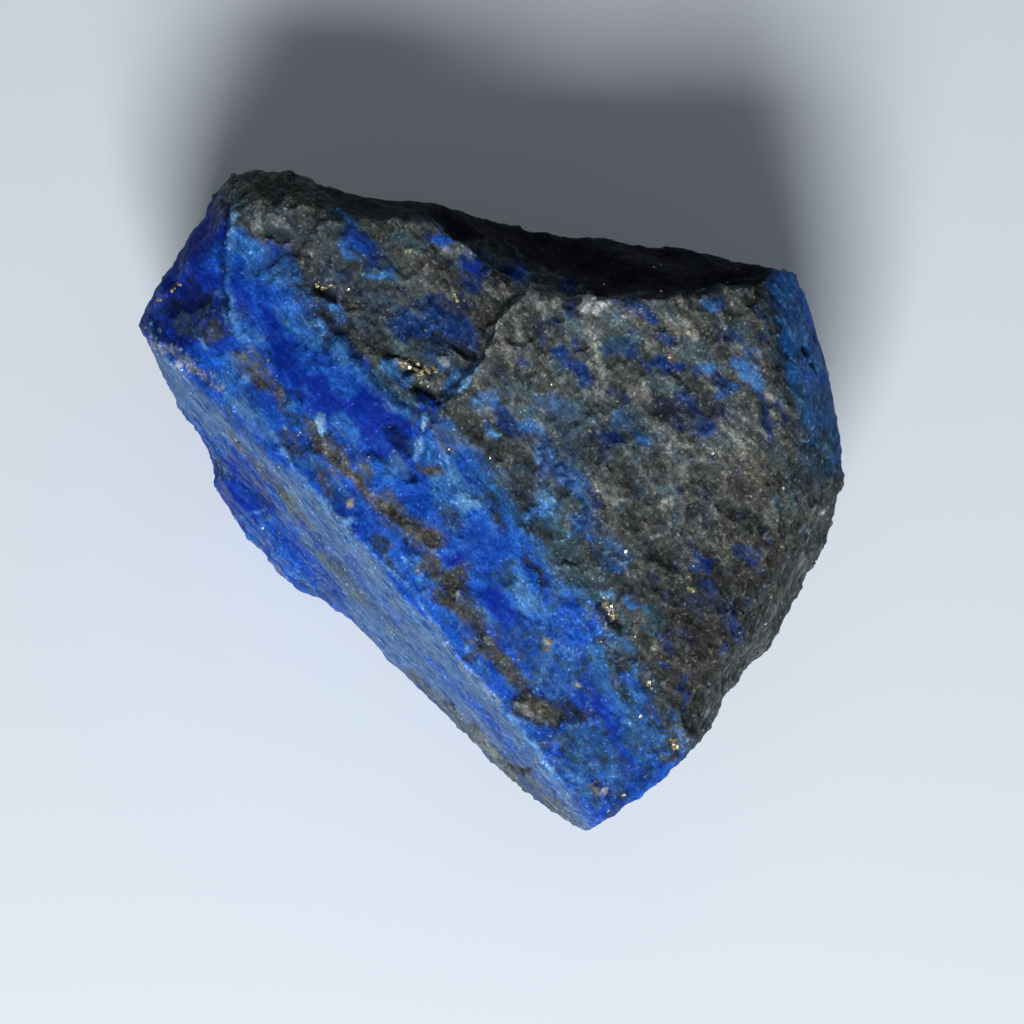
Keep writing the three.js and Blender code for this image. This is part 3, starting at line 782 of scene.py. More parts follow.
PLATEAU_LEFT = (
    cloud(AZURE, 0.16, 0.5, (440, 400), (520, 390), (570, 440), (600, 520), (560, 540), (500, 480)),
    streak(LAZURITE, 9, 0.85, (502, 412), (512, 424), (520, 436)),
    streak(AZURE, 9, 0.6, (480, 400), (496, 402)),
    streak(PERIWINKLE, 9, 0.6, (548, 402), (564, 414)),
    streak(LIMESTONE, 7, 0.5, (478, 412), (490, 420)),
    streak(AZURE, 9, 0.7, (446, 426), (464, 444)),
    streak(AZURE, 10, 0.7, (470, 450), (486, 472)),
    streak(AZURE, 7, 0.6, (520, 428), (536, 432)),
    streak(OLIVE, 8, 0.5, (456, 434), (480, 446)),
    streak(UMBER, 8, 0.7, (480, 440), (494, 456)),
    streak(UMBER, 3.6, 0.8, (494, 466), (524, 460), (534, 466)),
    streak(WARM, 9, 0.6, (500, 452), (530, 446)),
    streak(LIMESTONE, 8, 0.45, (500, 470), (510, 480)),
    patch(LAZURITE, 6, 0.7, (530, 448), (548, 444), (566, 460), (570, 488), (556, 486), (540, 470)),
    scatter(PERIWINKLE, 0.35, 0.6, (528, 446), (566, 452), (574, 492), (540, 480)),
    streak(SLATE, 10, 0.6, (520, 480), (532, 500)),
    streak(UMBER, 7, 0.7, (522, 482), (536, 494)),
    streak(SKY, 6, 0.6, (542, 494), (552, 502)),
    streak(AZURE, 7, 0.6, (534, 512), (556, 512)),
    streak(TEAL, 9, 0.6, (556, 520), (562, 530)),
    streak(UMBER, 6, 0.7, (530, 530), (548, 536)),
    patch(LAZURITE, 5, 0.85, (572, 518), (590, 512), (604, 534), (610, 546), (594, 544), (576, 528)),
    scatter(AZURE, 0.3, 0.6, (566, 512), (608, 528), (610, 550), (574, 536)),
    streak(LAZURITE, 7, 0.8, (604, 438), (620, 440)),
    streak(NAVY, 6, 0.7, (596, 438), (606, 436)),
    streak(AZURE, 7, 0.5, (618, 420), (630, 424)),
    streak(SLATE, 12, 0.6, (636, 414), (646, 438)),
    streak(AZURE, 6, 0.6, (640, 436), (648, 444)),
    streak(SLATE, 14, 0.5, (560, 420), (580, 440)),
    streak(UMBER, 14, 0.45, (590, 450), (620, 480)),
    streak(LIMESTONE, 12, 0.35, (560, 560), (590, 572)),
    streak(TEAL, 12, 0.55, (566, 556), (590, 590)),
    streak(AZURE, 9, 0.6, (612, 556), (622, 562)),
    streak(TEAL, 10, 0.6, (604, 546), (616, 548)),
)

PLATEAU_RIGHT = (
    streak(LAZURITE, 6, 0.85, (692, 564), (708, 568)),
    streak(LAZURITE, 8, 0.8, (704, 586), (714, 594)),
    streak(LAZURITE, 8, 0.9, (728, 604), (732, 622)),
    streak(LAZURITE, 6, 0.8, (736, 632), (742, 642)),
    streak(AZURE, 6, 0.7, (632, 602), (642, 608)),
    streak(TEAL, 9, 0.7, (644, 610), (652, 626)),
    streak(LAZURITE, 5, 0.6, (662, 636), (672, 652)),
    streak(TEAL, 5, 0.5, (674, 512), (680, 518)),
    streak(WARM, 14, 0.5, (610, 520), (640, 530)),
    streak(UMBER, 22, 0.45, (660, 560), (690, 620)),
    streak(UMBER, 24, 0.5, (700, 640), (740, 600)),
    streak(UMBER, 18, 0.5, (740, 510), (776, 484)),
    streak(UMBER, 14, 0.5, (776, 560), (764, 600)),
    streak(WARM, 20, 0.4, (760, 460), (790, 500)),
    streak(OCHRE, 5, 0.4, (768, 560), (772, 566)),
    streak(TEAL, 5, 0.8, (778, 500), (786, 512)),
    streak(TEAL, 5, 0.6, (794, 488), (798, 504)),
    streak(AZURE, 4.5, 0.8, (806, 530), (811, 540)),
    streak(TEAL, 9, 0.5, (776, 450), (790, 470)),
    streak(SLATE, 9, 0.5, (806, 478), (822, 492)),
    scatter(LIMESTONE, 0.10, 0.30, (600, 470), (700, 480), (780, 500), (780, 580), (720, 660), (660, 700),
        (620, 640), (600, 560)),
    # Painted shadow in a pit that holds pyrite.
    streak(DEEP_SHADOW, 4.4, 1, (604, 608), (612, 616), (620, 630)),
    streak(CREAM, 2.6, 0.9, (607, 608), (614, 618)),
)

FLANK_OUTLINE = ((766, 270), (810, 270), (836, 400), (836, 470), (806, 470), (790, 380))
RIGHT_FACE = (
    cloud(AZURE, 0.30, 0.5, *FLANK_OUTLINE),
    cloud(NAVY, 0.16, 0.5, *FLANK_OUTLINE),
    cloud(TEAL, 0.20, 0.5, (766, 280), (780, 280), (800, 380), (836, 430), (836, 480), (806, 476),
        (786, 390)),
    patch(AZURE, 14, 0.5, (782, 262), (806, 274), (824, 330), (830, 380), (812, 380), (800, 330), (780, 290)),
    patch(NAVY, 12, 0.45, (768, 290), (782, 300), (792, 350), (798, 400), (806, 450), (796, 450), (784, 390),
        (772, 330)),
    patch(TEAL, 22, 0.7, (800, 424), (838, 430), (842, 484), (806, 480)),
    patch(SLATE, 20, 0.4, (806, 452), (842, 456), (846, 500), (806, 492)),
    patch(WARM, 20, 0.4, (796, 424), (842, 436), (846, 500), (806, 492)),
    cloud(TEAL, 0.35, 0.5, (790, 400), (838, 410), (842, 484), (806, 480)),
    streak(NAVY, 4, 0.5, (806, 372), (818, 384)),
    streak(NAVY, 3, 0.6, (812, 330), (816, 344)),
    streak(UMBER, 4, 0.5, (796, 300), (800, 312)),
    streak(SKY, 3, 0.4, (822, 352), (828, 372)),
    streak(TEAL, 5, 0.6, (816, 392), (824, 412)),
    streak(AZURE, 6, 0.7, (776, 290), (784, 312), (796, 340)),
    streak(ROYAL, 6, 0.6, (800, 280), (812, 320), (824, 350)),
    streak(ROYAL, 7, 0.8, (806, 372), (816, 376)),
    streak(AZURE, 8, 0.5, (808, 392), (814, 420)),
    streak(AZURE, 6, 0.6, (796, 368), (800, 376)),
    streak(TEAL, 7, 0.6, (786, 386), (798, 400)),
    # Painted shadow in two small pits.
    streak(DEEP_SHADOW, 2.8, 1, (803, 348), (806, 354)),
    streak(DEEP_SHADOW, 2.4, 1, (813, 362), (815, 366)),
    streak(TEAL, 8, 0.6, (812, 440), (826, 466)),
    streak(SLATE, 9, 0.7, (804, 446), (816, 476)),
    streak(UMBER, 6, 0.5, (808, 436), (816, 452)),
    scatter(SKY, 0.08, 0.6, (770, 280), (820, 300), (830, 400), (826, 460), (804, 440), (790, 360)),
)

RIGHT_EDGE = (
    patch(BEVEL, 8, 0.85, (840, 486), (822, 500), (806, 530), (786, 570), (762, 612), (738, 648), (706, 700),
        (690, 756), (740, 720), (790, 640), (830, 560), (846, 510)),
    # Painted highlight along the tops of fine ridges and painted shade in the grooves between them; these
    # also raise and sink the surface.
    streak(LIT_RIDGE, 1, 0.5, (826, 504), (814, 526), (806, 548), (794, 574), (780, 600), (760, 630), (744, 654)),
    streak(SHADED_GROOVE, 1.4, 0.6, (818, 514), (806, 536), (796, 560), (782, 584), (766, 610), (748, 638)),
    streak(LIT_RIDGE, 1, 0.45, (812, 510), (800, 534), (788, 556), (774, 582), (756, 608)),
    streak(SHADED_GROOVE, 1.4, 0.5, (804, 520), (792, 546), (778, 570), (764, 594)),
    streak(LIT_RIDGE, 1, 0.45, (812, 554), (798, 580), (784, 604), (766, 632), (746, 660), (728, 690)),
    streak(SHADED_GROOVE, 1.4, 0.5, (802, 572), (788, 596), (770, 626), (750, 652), (732, 678)),
    # A painted glint.
    streak(CALCITE, 1, 0.6, (820, 514), (828, 508)),
    streak(SLATE, 5, 0.5, (740, 690), (716, 718), (700, 744)),
)

CREST = (
    streak(LIMESTONE, 2, 0.6, (152, 346), (172, 354), (192, 364), (206, 382), (221, 391)),
    scatter(CALCITE, 0.22, 0.5, (140, 330), (160, 338), (196, 360), (226, 388), (222, 396), (190, 376),
        (150, 352)),
    streak(LIMESTONE, 1.4, 0.5, (142, 338), (160, 346), (186, 364), (214, 386)),
    scatter(SKY, 0.18, 0.5, (134, 312), (150, 308), (162, 330), (166, 346), (142, 342)),
    # Painted highlight along the crest between the top and the joint face.
    streak(SKY, 1.5, 0.5, (228, 392), (263, 424), (300, 474), (345, 525)),
    streak(SKY, 1.5, 0.45, (345, 525), (416, 596), (463, 667), (522, 730), (570, 795)),
    streak(LIMESTONE, 1.6, 0.4, (430, 620), (463, 667), (500, 706)),
)

DETAILS = (
    cloud(OLIVE, 0.42, 0.4, (306, 430), (336, 430), (372, 476), (440, 536), (440, 556), (400, 540),
        (350, 496), (320, 460)),
    cloud(OLIVE, 0.42, 0.4, (428, 560), (484, 556), (470, 590), (530, 676), (516, 690), (450, 620)),
    streak(VEIN, 5, 0.8, (316, 438), (330, 452), (344, 466), (357, 480), (362, 494), (380, 503), (398, 520),
        (418, 534), (430, 543)),
    streak(UMBER, 3, 0.45, (346, 470), (357, 484), (362, 496)),
    streak(UMBER, 3, 0.5, (384, 504), (398, 517)),
    streak(LIMESTONE, 2, 0.6, (322, 442), (330, 450)),
    streak(LIMESTONE, 1.4, 0.5, (366, 499), (384, 508)),
    streak(OCHRE, 7, 0.75, (424, 536), (442, 544)),
    streak(UMBER, 4, 0.5, (428, 536), (436, 544)),
    streak(OCHRE, 5, 0.5, (350, 470), (356, 480)),
    streak(OCHRE, 5, 0.5, (384, 506), (396, 516)),
    patch(UMBER, 6, 0.8, (434, 573), (452, 564), (474, 562), (468, 578), (459, 590), (454, 606), (445, 594)),
    patch(VEIN, 6, 0.6, (438, 574), (452, 567), (470, 565), (464, 578), (455, 588), (452, 600), (446, 590)),
    streak(VEIN, 5, 0.75, (452, 600), (466, 614), (482, 630), (493, 646), (504, 662), (514, 674), (520, 680)),
    streak(UMBER, 3, 0.45, (458, 604), (470, 618), (482, 632)),
    streak(LIMESTONE, 1.4, 0.5, (486, 636), (496, 650), (506, 664)),
    streak(OCHRE, 4, 0.5, (494, 650), (506, 668)),
    patch(UMBER, 4, 0.8, (510, 699), (522, 688), (546, 696), (563, 706), (567, 718), (554, 729), (530, 722),
        (512, 714)),
    patch(VEIN, 5, 0.85, (515, 700), (525, 692), (545, 699), (559, 708), (562, 718), (551, 725), (531, 718),
        (517, 711)),
    streak(OCHRE, 4, 0.6, (522, 704), (540, 708), (552, 716)),
    streak(LIMESTONE, 1.4, 0.6, (514, 704), (526, 712), (544, 720)),
    scatter(LIMESTONE, 0.22, 0.5, (515, 704), (526, 694), (556, 710), (558, 722), (528, 716)),
    streak(SKY, 4, 1, (319, 418), (321, 428)),
    streak(CALCITE, 2, 0.45, (319, 420), (320, 426)),
    streak(SKY, 2.6, 0.8, (348, 521), (353, 522)),
    streak(CREAM, 2.2, 1, (348, 502), (350, 505)),
    streak(LIMESTONE, 2.2, 0.8, (417, 569), (419, 571)),
    streak(CREAM, 1.8, 0.9, (457, 592), (458, 595)),
    streak(CREAM, 1.4, 0.9, (547, 642), (549, 644)),
    streak(OCHRE, 2.4, 0.6, (548, 650), (545, 652)),
    streak(CREAM, 1, 0.8, (577, 684), (578, 685)),
    streak(UMBER, 3, 0.6, (598, 784), (606, 796)),
    streak(CREAM, 1, 0.7, (603, 793), (604, 794)),
    streak(SKY, 2.2, 0.9, (425, 418), (421, 438), (416, 458)),
    streak(CALCITE, 2.2, 0.5, (424, 424), (421, 434)),
    # Painted highlight along the lit lip of the plateau, and pale colour on its shaded wall as painted light.
    streak(LIMESTONE, 3, 0.85, (525, 291), (508, 307), (496, 322), (488, 343), (480, 362)),
    streak(CREAM, 1.4, 0.6, (508, 305), (498, 318), (490, 336)),
    streak(SKY, 2.6, 0.8, (480, 362), (464, 383), (444, 399)),
    # The end face's crease again: painted shade on its shaded side and painted highlight on its lit side.
    streak(NAVY, 3, 0.6, (226, 206), (225, 240), (222, 280), (225, 316)),
    streak(SKY, 3, 0.45, (231, 206), (231, 236), (230, 250)),
    streak(AZURE, 3, 0.5, (230, 250), (229, 268), (228, 290), (232, 314)),
)

# Painted shadow: the back, which faces away from the light, is laid near-black.
BACK_FACE_SHADOW = (
    patch(BACK_SHADOW, 7, 0.96, (300, 150), (330, 205), (360, 219), (400, 219), (430, 225), (470, 240),
        (490, 239), (515, 254), (540, 267), (560, 272), (600, 294), (660, 299), (700, 297), (715, 294),
        (725, 287), (755, 285), (770, 272), (790, 268), (800, 150)),
)

# Nests of pyrite: the chart square of each one's middle, how far its grains spread in squares, and how
# many there are
PYRITE_NESTS = (
    ((321, 285), 3.0, 7), ((402, 361), 3.5, 8), ((418, 371), 4.5, 14), ((429, 371), 3.0, 6),
    ((608, 608), 2.5, 5), ((613, 617), 3.0, 8), ((676, 741), 3.0, 6), ((161, 284), 1.5, 2),
    ((180, 285), 1.5, 2), ((173, 291), 1.5, 2), ((159, 300), 1.5, 2), ((286, 427), 2.0, 2),
    ((300, 433), 2.0, 2), ((590, 430), 1.5, 2), ((668, 358), 1.5, 2), ((409, 252), 2.0, 3),
    ((692, 588), 2.0, 3), ((456, 297), 3.5, 5), ((547, 644), 2.0, 2), ((652, 690), 5.0, 4),
)

TOP_MARKS = (
    END_FACE + RIM_LEFT + BAND + BAND_FOOT + BAND_MIDDLE + BAND_TIP + HOLLOW + HOLLOW_EDGE
    + PLATEAU + PLATEAU_LEFT + PLATEAU_RIGHT + RIGHT_FACE
)

# Lines that the beds and the scratches of the smooth strip run along
BED_DIRECTION = (0.645, -0.764, 0.0)
BEVEL_DIRECTION = (-0.43, -0.85, -0.30)

# --------------------------------------
# Noise over the stone, and the minerals of the faces that no mark reaches
# --------------------------------------

CLOUD_SHIFT = Vector((17.3, 5.1, 9.7))
CLOUD_FADING = 1.0
CLOUD_NARROWING = 2.0
FINE_STEPS = 4
GRAIN_SHIFT = Vector((3.7, 11.9, 23.1))
GRAIN_LINE = (127.1, 311.7, 74.7)
GRAIN_STRETCH = 43758.5453


def clouds(points: Array, size: float, seed: int, steps: int = 3) -> Array:
    """Cloudy noise at points in space.

    Args:
        points: Points, one a row.
        size: Size of the largest clouds.
        seed: Picks one of many noises.
        steps: Steps of ever finer detail.

    Returns:
        A value for each point, about -1 to 1.
    """
    shift = CLOUD_SHIFT * seed
    places = (Vector(p) + shift for p in points / size)
    return np.array([noise.fractal(p, CLOUD_FADING, CLOUD_NARROWING, steps) for p in places])


def grain_values(points: Array, size: float, seed: int) -> Array:
    """Give every grain of a packed bed of grains one random value.

    Args:
        points: Points, one a row.
        size: Size of a grain.
        seed: Picks one of many beds.

    Returns:
        A value from 0 to 1 for each point, the same all over a grain.
    """
    shift = GRAIN_SHIFT * seed
    hearts = np.array([noise.voronoi(Vector(p) + shift)[1][0] for p in points / size])
    mixed = np.sin(hearts @ np.array(GRAIN_LINE)) * GRAIN_STRETCH
    return mixed - np.floor(mixed)


@dataclass(frozen=True)
class Bed:
    """A mineral that shows in clouds on the faces that no mark reaches.

    size is the size of its clouds in millimetres, and it shows where they rise over the threshold.
    """

    mineral: Mineral
    size: float
    threshold: float
    seed: int

    EDGE = 0.14

    def cover(self, points: Array) -> Array:
        """Share of each point, on bedding coordinates, that the bed covers."""
        clouded = clouds(points, self.size * MM, self.seed, FINE_STEPS)
        return smooth_step(self.threshold - self.EDGE, self.threshold + self.EDGE, clouded)


GREY_BEDS = (
    Bed(WARM, 9, 0.05, 1),
    Bed(SLATE, 5, 0.02, 2),
    Bed(UMBER, 3, 0.20, 3),
    Bed(LIMESTONE, 2.5, 0.24, 4),
    Bed(TEAL, 3, 0.30, 5),
    Bed(LAZURITE, 3, 0.36, 6),
    Bed(AZURE, 2.5, 0.52, 7),
)
BLUE_BEDS = (
    Bed(ROYAL, 10, -2.0, 1),
    Bed(AZURE, 9, 0.10, 2),
    Bed(ULTRAMARINE, 8, 0.06, 3),
    Bed(SLATE, 6, 0.26, 4),
    Bed(UMBER, 4.5, 0.34, 5),
    Bed(PERIWINKLE, 3.5, 0.34, 7),
    Bed(NAVY, 3.5, 0.30, 9),
)

# --------------------------------------
# Mesh and selection helpers
# --------------------------------------

WEIGHT_STEPS = 100


class Zone(Enum):
    """The vertex groups that say where relief is raised."""

    ROUGH = "rough"
    JOINT = "joint"
    BROKEN = "broken"
    RAISED = "raised"
    SUNK = "sunk"


def vertex_values(mesh: bpy.types.Mesh, name: str) -> Array:
    """Read one vector property of all vertices.

    Args:
        mesh: The mesh.
        name: The property, such as co or normal.

    Returns:
        One vector a row.
    """
    values = np.empty(len(mesh.vertices) * 3)
    mesh.vertices.foreach_get(name, values)
    return values.reshape(-1, 3)


def select_only(piece: bpy.types.Object) -> None:
    """Make a piece the one selected and active object.

    Args:
        piece: The piece.
    """
    bpy.ops.object.select_all(action="DESELECT")
    piece.select_set(True)
    bpy.context.view_layer.objects.active = piece


def apply_modifier(piece: bpy.types.Object, kind: str, **settings: object) -> None:
    """Add a modifier to a piece and apply it at once.

    Args:
        piece: The piece.
        kind: The modifier's type.
        settings: Its properties.
    """
    select_only(piece)
    modifier = piece.modifiers.new(kind.title(), kind)
    for name, value in settings.items():
        setattr(modifier, name, value)
    bpy.ops.object.modifier_apply(modifier=modifier.name)


def set_zone(piece: bpy.types.Object, zone: Zone, weights: Array) -> None:
    """Store a vertex group with one weight a vertex.

    Args:
        piece: The piece.
        zone: The group.
        weights: Weights, which are kept within 0 and 1.
    """
    group = piece.vertex_groups.new(name=zone.value)
    steps = np.round(np.clip(weights, 0.0, 1.0) * WEIGHT_STEPS).astype(int)
    for step in np.unique(steps):
        group.add(np.flatnonzero(steps == step).tolist(), step / WEIGHT_STEPS, "REPLACE")


def set_attribute(mesh: bpy.types.Mesh, name: str, values: Array) -> None:
    """Store a value or a colour for each vertex.

    Args:
        mesh: The mesh.
        name: The attribute's name, which the finish reads.
        values: One number or one colour a row.
    """
    if values.ndim == 1:
        mesh.attributes.new(name, "FLOAT", "POINT").data.foreach_set("value", values.astype(np.float32))
        return
    full = np.column_stack((values, np.ones(len(values)))).astype(np.float32)
    mesh.attributes.new(name, "FLOAT_COLOR", "POINT").data.foreach_set("color", full.ravel())


# --------------------------------------
# Finishes
# --------------------------------------

Socket = bpy.types.NodeSocket
FULL: Span = (0.0, 1.0)
CLOUD_SPAN: Span = (0.3, 0.7)
MIDDLE = (0.5, 0.5, 0.5)


def opaque(colour: Colour) -> tuple[float, float, float, float]:
    """A colour with full cover, as sockets take it."""
    return (*colour, 1.0)


@dataclass(frozen=True)
class Clouds:
    """Cloudy noise in a finish.

    size is the size of its largest clouds, detail its steps of finer ones, twist how far they are twisted
    into wisps, and harshness how strongly the finer ones show.
    """

    size: float
    detail: float = 2.0
    twist: float = 0.0
    harshness: float = 0.5


class NodeBench:
    """Puts a material's nodes together, one call for each."""

    def __init__(self, name: str) -> None:
        """Start an empty material with a Principled BSDF.

        Args:
            name: The material's name.
        """
        self.material = bpy.data.materials.new(name)
        self.material.use_nodes = True
        self.tree = self.material.node_tree
        self.surface = self.tree.nodes["Principled BSDF"]

    def feed(self, node: bpy.types.Node, inputs: dict[str | int, object]) -> None:
        """Link inputs of a node to other sockets, or set them to plain values.

        Args:
            node: The node.
            inputs: What each input takes, by name or place.
        """
        for name, value in inputs.items():
            if isinstance(value, bpy.types.NodeSocket):
                self.tree.links.new(value, node.inputs[name])
            else:
                node.inputs[name].default_value = value

    def node(self, kind: str, inputs: dict[str | int, object], **settings: object) -> bpy.types.Node:
        """Add a node.

        Args:
            kind: The node's type without its ShaderNode beginning.
            inputs: What each input takes, by name or place.
            settings: The node's own properties.

        Returns:
            The node.
        """
        made = self.tree.nodes.new("ShaderNode" + kind)
        for name, value in settings.items():
            setattr(made, name, value)
        self.feed(made, inputs)
        return made

    def place(self) -> Socket:
        """The point being shaded, in the piece's own metres."""
        return self.node("TexCoord", {}).outputs["Object"]

    def painted(self, name: str, output: str = "Fac") -> Socket:
        """A value or colour stored on the mesh."""
        return self.node("Attribute", {}, attribute_name=name).outputs[output]

    def maths(self, operation: str, *values: object, clamp: bool = False) -> Socket:
        """Work on values one after another.

        Args:
            operation: The operation.
            values: Sockets or numbers, from the first to the last.
            clamp: Keep the result within 0 and 1.

        Returns:
            The result.
        """
        made = values[0]
        for value in values[1:]:
            made = self.node("Math", {0: made, 1: value}, operation=operation, use_clamp=clamp).outputs[0]
        return made

    def vector(self, operation: str, inputs: dict[str | int, object], output: str = "Vector") -> Socket:
        """The result of an operation on vectors."""
        return self.node("VectorMath", inputs, operation=operation).outputs[output]

    def ramp(self, value: Socket, span: Span, onto: Span = FULL, kind: str = "SMOOTHSTEP") -> Socket:
        """Carry a value from one span onto another, clamped, and eased at both ends."""
        inputs = dict(zip(("Value", "From Min", "From Max", "To Min", "To Max"), (value, *span, *onto)))
        return self.node("MapRange", inputs, interpolation_type=kind).outputs["Result"]

    def swing(self, value: Socket, span: Span, reach: float) -> Socket:
        """Carry a value straight from a span onto one that reaches as far below 0 as above it."""
        return self.ramp(value, span, (-reach, reach), "LINEAR")

    def mix(self, share: object, first: object, second: object, blend: str = "MIX") -> Socket:
        """Mix two colours."""
        inputs = {0: share, 6: first, 7: second}
        return self.node("Mix", inputs, data_type="RGBA", blend_type=blend).outputs[2]

    def noise(self, place: Socket, look: Clouds, kind: str = "FBM") -> bpy.types.Node:
        """Add noise over the piece."""
        inputs = {"Vector": place, "Scale": 1 / look.size, "Detail": look.detail, "Distortion": look.twist,
                  "Roughness": look.harshness}
        return self.node("TexNoise", inputs, noise_type=kind)

    def cloud(self, place: Socket, look: Clouds) -> Socket:
        """Cloudy noise from 0 to 1."""
        return self.noise(place, look).outputs["Fac"]

    def ridges(self, place: Socket, look: Clouds) -> Socket:
        """Noise that rises to thin ridges."""
        return self.noise(place, look, "RIDGED_MULTIFRACTAL").outputs["Fac"]

    def grains(self, place: Socket, size: float) -> bpy.types.Node:
        """Packed grains of a size in metres."""
        return self.node("TexVoronoi", {"Vector": place, "Scale": 1 / size, "Randomness": 1.0})

    def channels(self, colour: Socket) -> list[Socket]:
        """The red, green and blue of a colour."""
        return list(self.node("SeparateColor", {"Color": colour}).outputs)[:3]

    def drawn_out(self, place: Socket, line: Line, stretch: float) -> Socket:
        """Shrink space along a line, so that what is laid there comes out long.

        Args:
            place: The point being shaded.
            line: Direction of the line.
            stretch: The share of the way along the line that is taken away.

        Returns:
            The point in the new space.
        """
        direction = Vector(line).normalized()
        along = self.vector("DOT_PRODUCT", {0: place, 1: direction}, "Value")
        back = self.vector("SCALE", {0: direction, "Scale": self.maths("MULTIPLY", along, stretch)})
        return self.vector("SUBTRACT", {0: place, 1: back})


@dataclass(frozen=True)
class Thread:
    """Fine lines of a colour along a face.

    size is how far apart they lie, least how high their noise rises before they show, and weight the share
    of the ground that they hide.
    """

    size: float
    least: float
    weight: float
    colour: Colour

    EDGE = 0.14
    DETAIL = 4.0
    TWIST = 0.4


@dataclass(frozen=True)
class LapisFinish:
    """Interlocked grains of blue and grey minerals, with pale flecks and pyrite, and painted shade and
    highlight.
    """

    name: str = "lapis_grains"
    grain_size: float = 0.42 * MM
    fleck_size: float = 0.26 * MM
    pyrite_size: float = 0.45 * MM
    pyrite_reach: float = 0.42
    bed_stretch: float = 0.7
    line_stretch: float = 0.86

    choice: Clouds = Clouds(0.7 * MM, 5.0, 0.8)
    choice_span: Span = (0.44, 0.56)
    drawn_swings: tuple[Clouds, ...] = (Clouds(3.0 * MM, 5.0, 0.6), Clouds(0.9 * MM, 5.0, 1.4))
    fine_swing: Clouds = Clouds(0.32 * MM, 3.0)
    # Painted shade in crevices and painted highlight on ridges, from the ridge value stored on the mesh.
    cloud_swing: float = 0.55
    relief_shade_swing: float = 0.55
    grain_swing: float = 0.20
    swing_stops: float = 1.1
    grey_swing: Colour = (1.10, 1.02, 0.94)
    blue_swing: Colour = (1.7, 1.35, 0.8)

    # Pale hairs: thin lines lit up over the tint, partly pale strands and partly painted highlight on the
    # crests of fine wrinkles.
    hair_highlights: Clouds = Clouds(1.1 * MM, 4.0, 0.5, 0.6)
    hair_highlight_span: Span = (0.75, 1.15)
    hair_highlight_share: float = 0.68
    hair_highlight_light: Colour = (2.4, 2.3, 2.1)

    joint_threads: tuple[Thread, ...] = (
        Thread(1.40 * MM, 0.50, 0.45, (0.110, 0.170, 0.250)),
        Thread(0.60 * MM, 0.52, 0.45, (0.200, 0.250, 0.270)),
        Thread(0.34 * MM, 0.55, 0.45, (0.300, 0.320, 0.290)),
    )
    # The bevel's lines: pale and dark copies of its grey, partly its own streaks and partly painted light and
    # shade of its fine ridges.
    bevel_lines_light_and_shade: tuple[Thread, ...] = (
        Thread(1.60 * MM, 0.50, 0.5, (0.024, 0.028, 0.030)),
        Thread(0.34 * MM, 0.53, 0.75, (0.230, 0.260, 0.265)),
        Thread(0.22 * MM, 0.55, 0.6, (0.016, 0.019, 0.021)),
    )
    dashes: Clouds = Clouds(0.32 * MM, 3.0, 0.3)
    dash_nests: Clouds = Clouds(2.5 * MM)
    nest_swing: float = 0.08
    dash_span: Span = (0.545, 0.61)
    dash_share: float = 0.85
    dash_colour: Colour = (0.022, 0.070, 0.260)

    # Flecks are lit-up copies of the grain below: partly pale mineral grains, partly painted glints.
    fleck_glint_light: Colour = (2.4, 2.4, 2.4)
    fleck_paleness: float = 0.12
    fleck_share: float = 0.8
    pale: Colour = (0.40, 0.41, 0.37)
    gold: Colour = (0.78, 0.70, 0.44)

    dullness: float = 0.82
    gloss_reach: float = 0.45
    grain_gloss: float = 0.16
    gold_gloss: float = 0.35
    shine: float = 0.07

    grain_height: float = 0.4
    pores: Clouds = Clouds(0.5 * MM, 4.0)
    pore_height: float = 1.4
    folds: Clouds = Clouds(1.6 * MM, 3.0, 0.8)
    fold_height: float = 1.2
    bump_height: float = 0.22 * MM
    bump_strength: float = 0.9
    facet_tilt: float = 0.48

    def build(self) -> bpy.types.Material:
        """Put the material together from what the stone's mesh stores.

        Returns:
            The material.
        """
        bench = NodeBench(self.name)
        place = bench.place()
        bedded = bench.drawn_out(place, BED_DIRECTION, self.bed_stretch)
        ragged = self.ragged(bench, place)
        grain = bench.grains(ragged, self.grain_size).outputs["Color"]
        jitter, chance, _ = bench.channels(grain)
        tint = self.minerals(bench, place, bedded, jitter)
        tint = self.lined(bench, tint, place)
        tint = self.flecked(bench, tint, ragged)
        gold = self.gold_grains(bench, place)
        gloss = bench.maths("MULTIPLY", bench.painted("gloss"), self.gloss_reach)
        rough = bench.maths("ADD", bench.maths("SUBTRACT", self.dullness, gloss),
                            bench.swing(chance, FULL, self.grain_gloss))
        gilt = bench.maths("MULTIPLY", gold, self.gold_gloss)
        bench.feed(bench.surface, {
            "Base Color": bench.mix(gold, tint, opaque(self.gold)),
            "Roughness": bench.maths("SUBTRACT", rough, gilt, clamp=True),
            "Metallic": gold,
            "Specular IOR Level": self.shine,
            "Normal": self.relief(bench, bedded, grain, jitter),
        })
        return bench.material

    def ragged(self, bench: NodeBench, place: Socket) -> Socket:
        """Shift space by less than a grain, so that the grains have ragged edges.

        Args:
            bench: The material's bench.
            place: The point being shaded.

        Returns:
            The point in the new space.
        """
        wobble = bench.noise(place, Clouds(self.grain_size)).outputs["Color"]
        away = bench.vector("SUBTRACT", {0: wobble, 1: MIDDLE})
        shift = bench.vector("SCALE", {0: away, "Scale": self.grain_size})
        return bench.vector("ADD", {0: place, 1: shift})

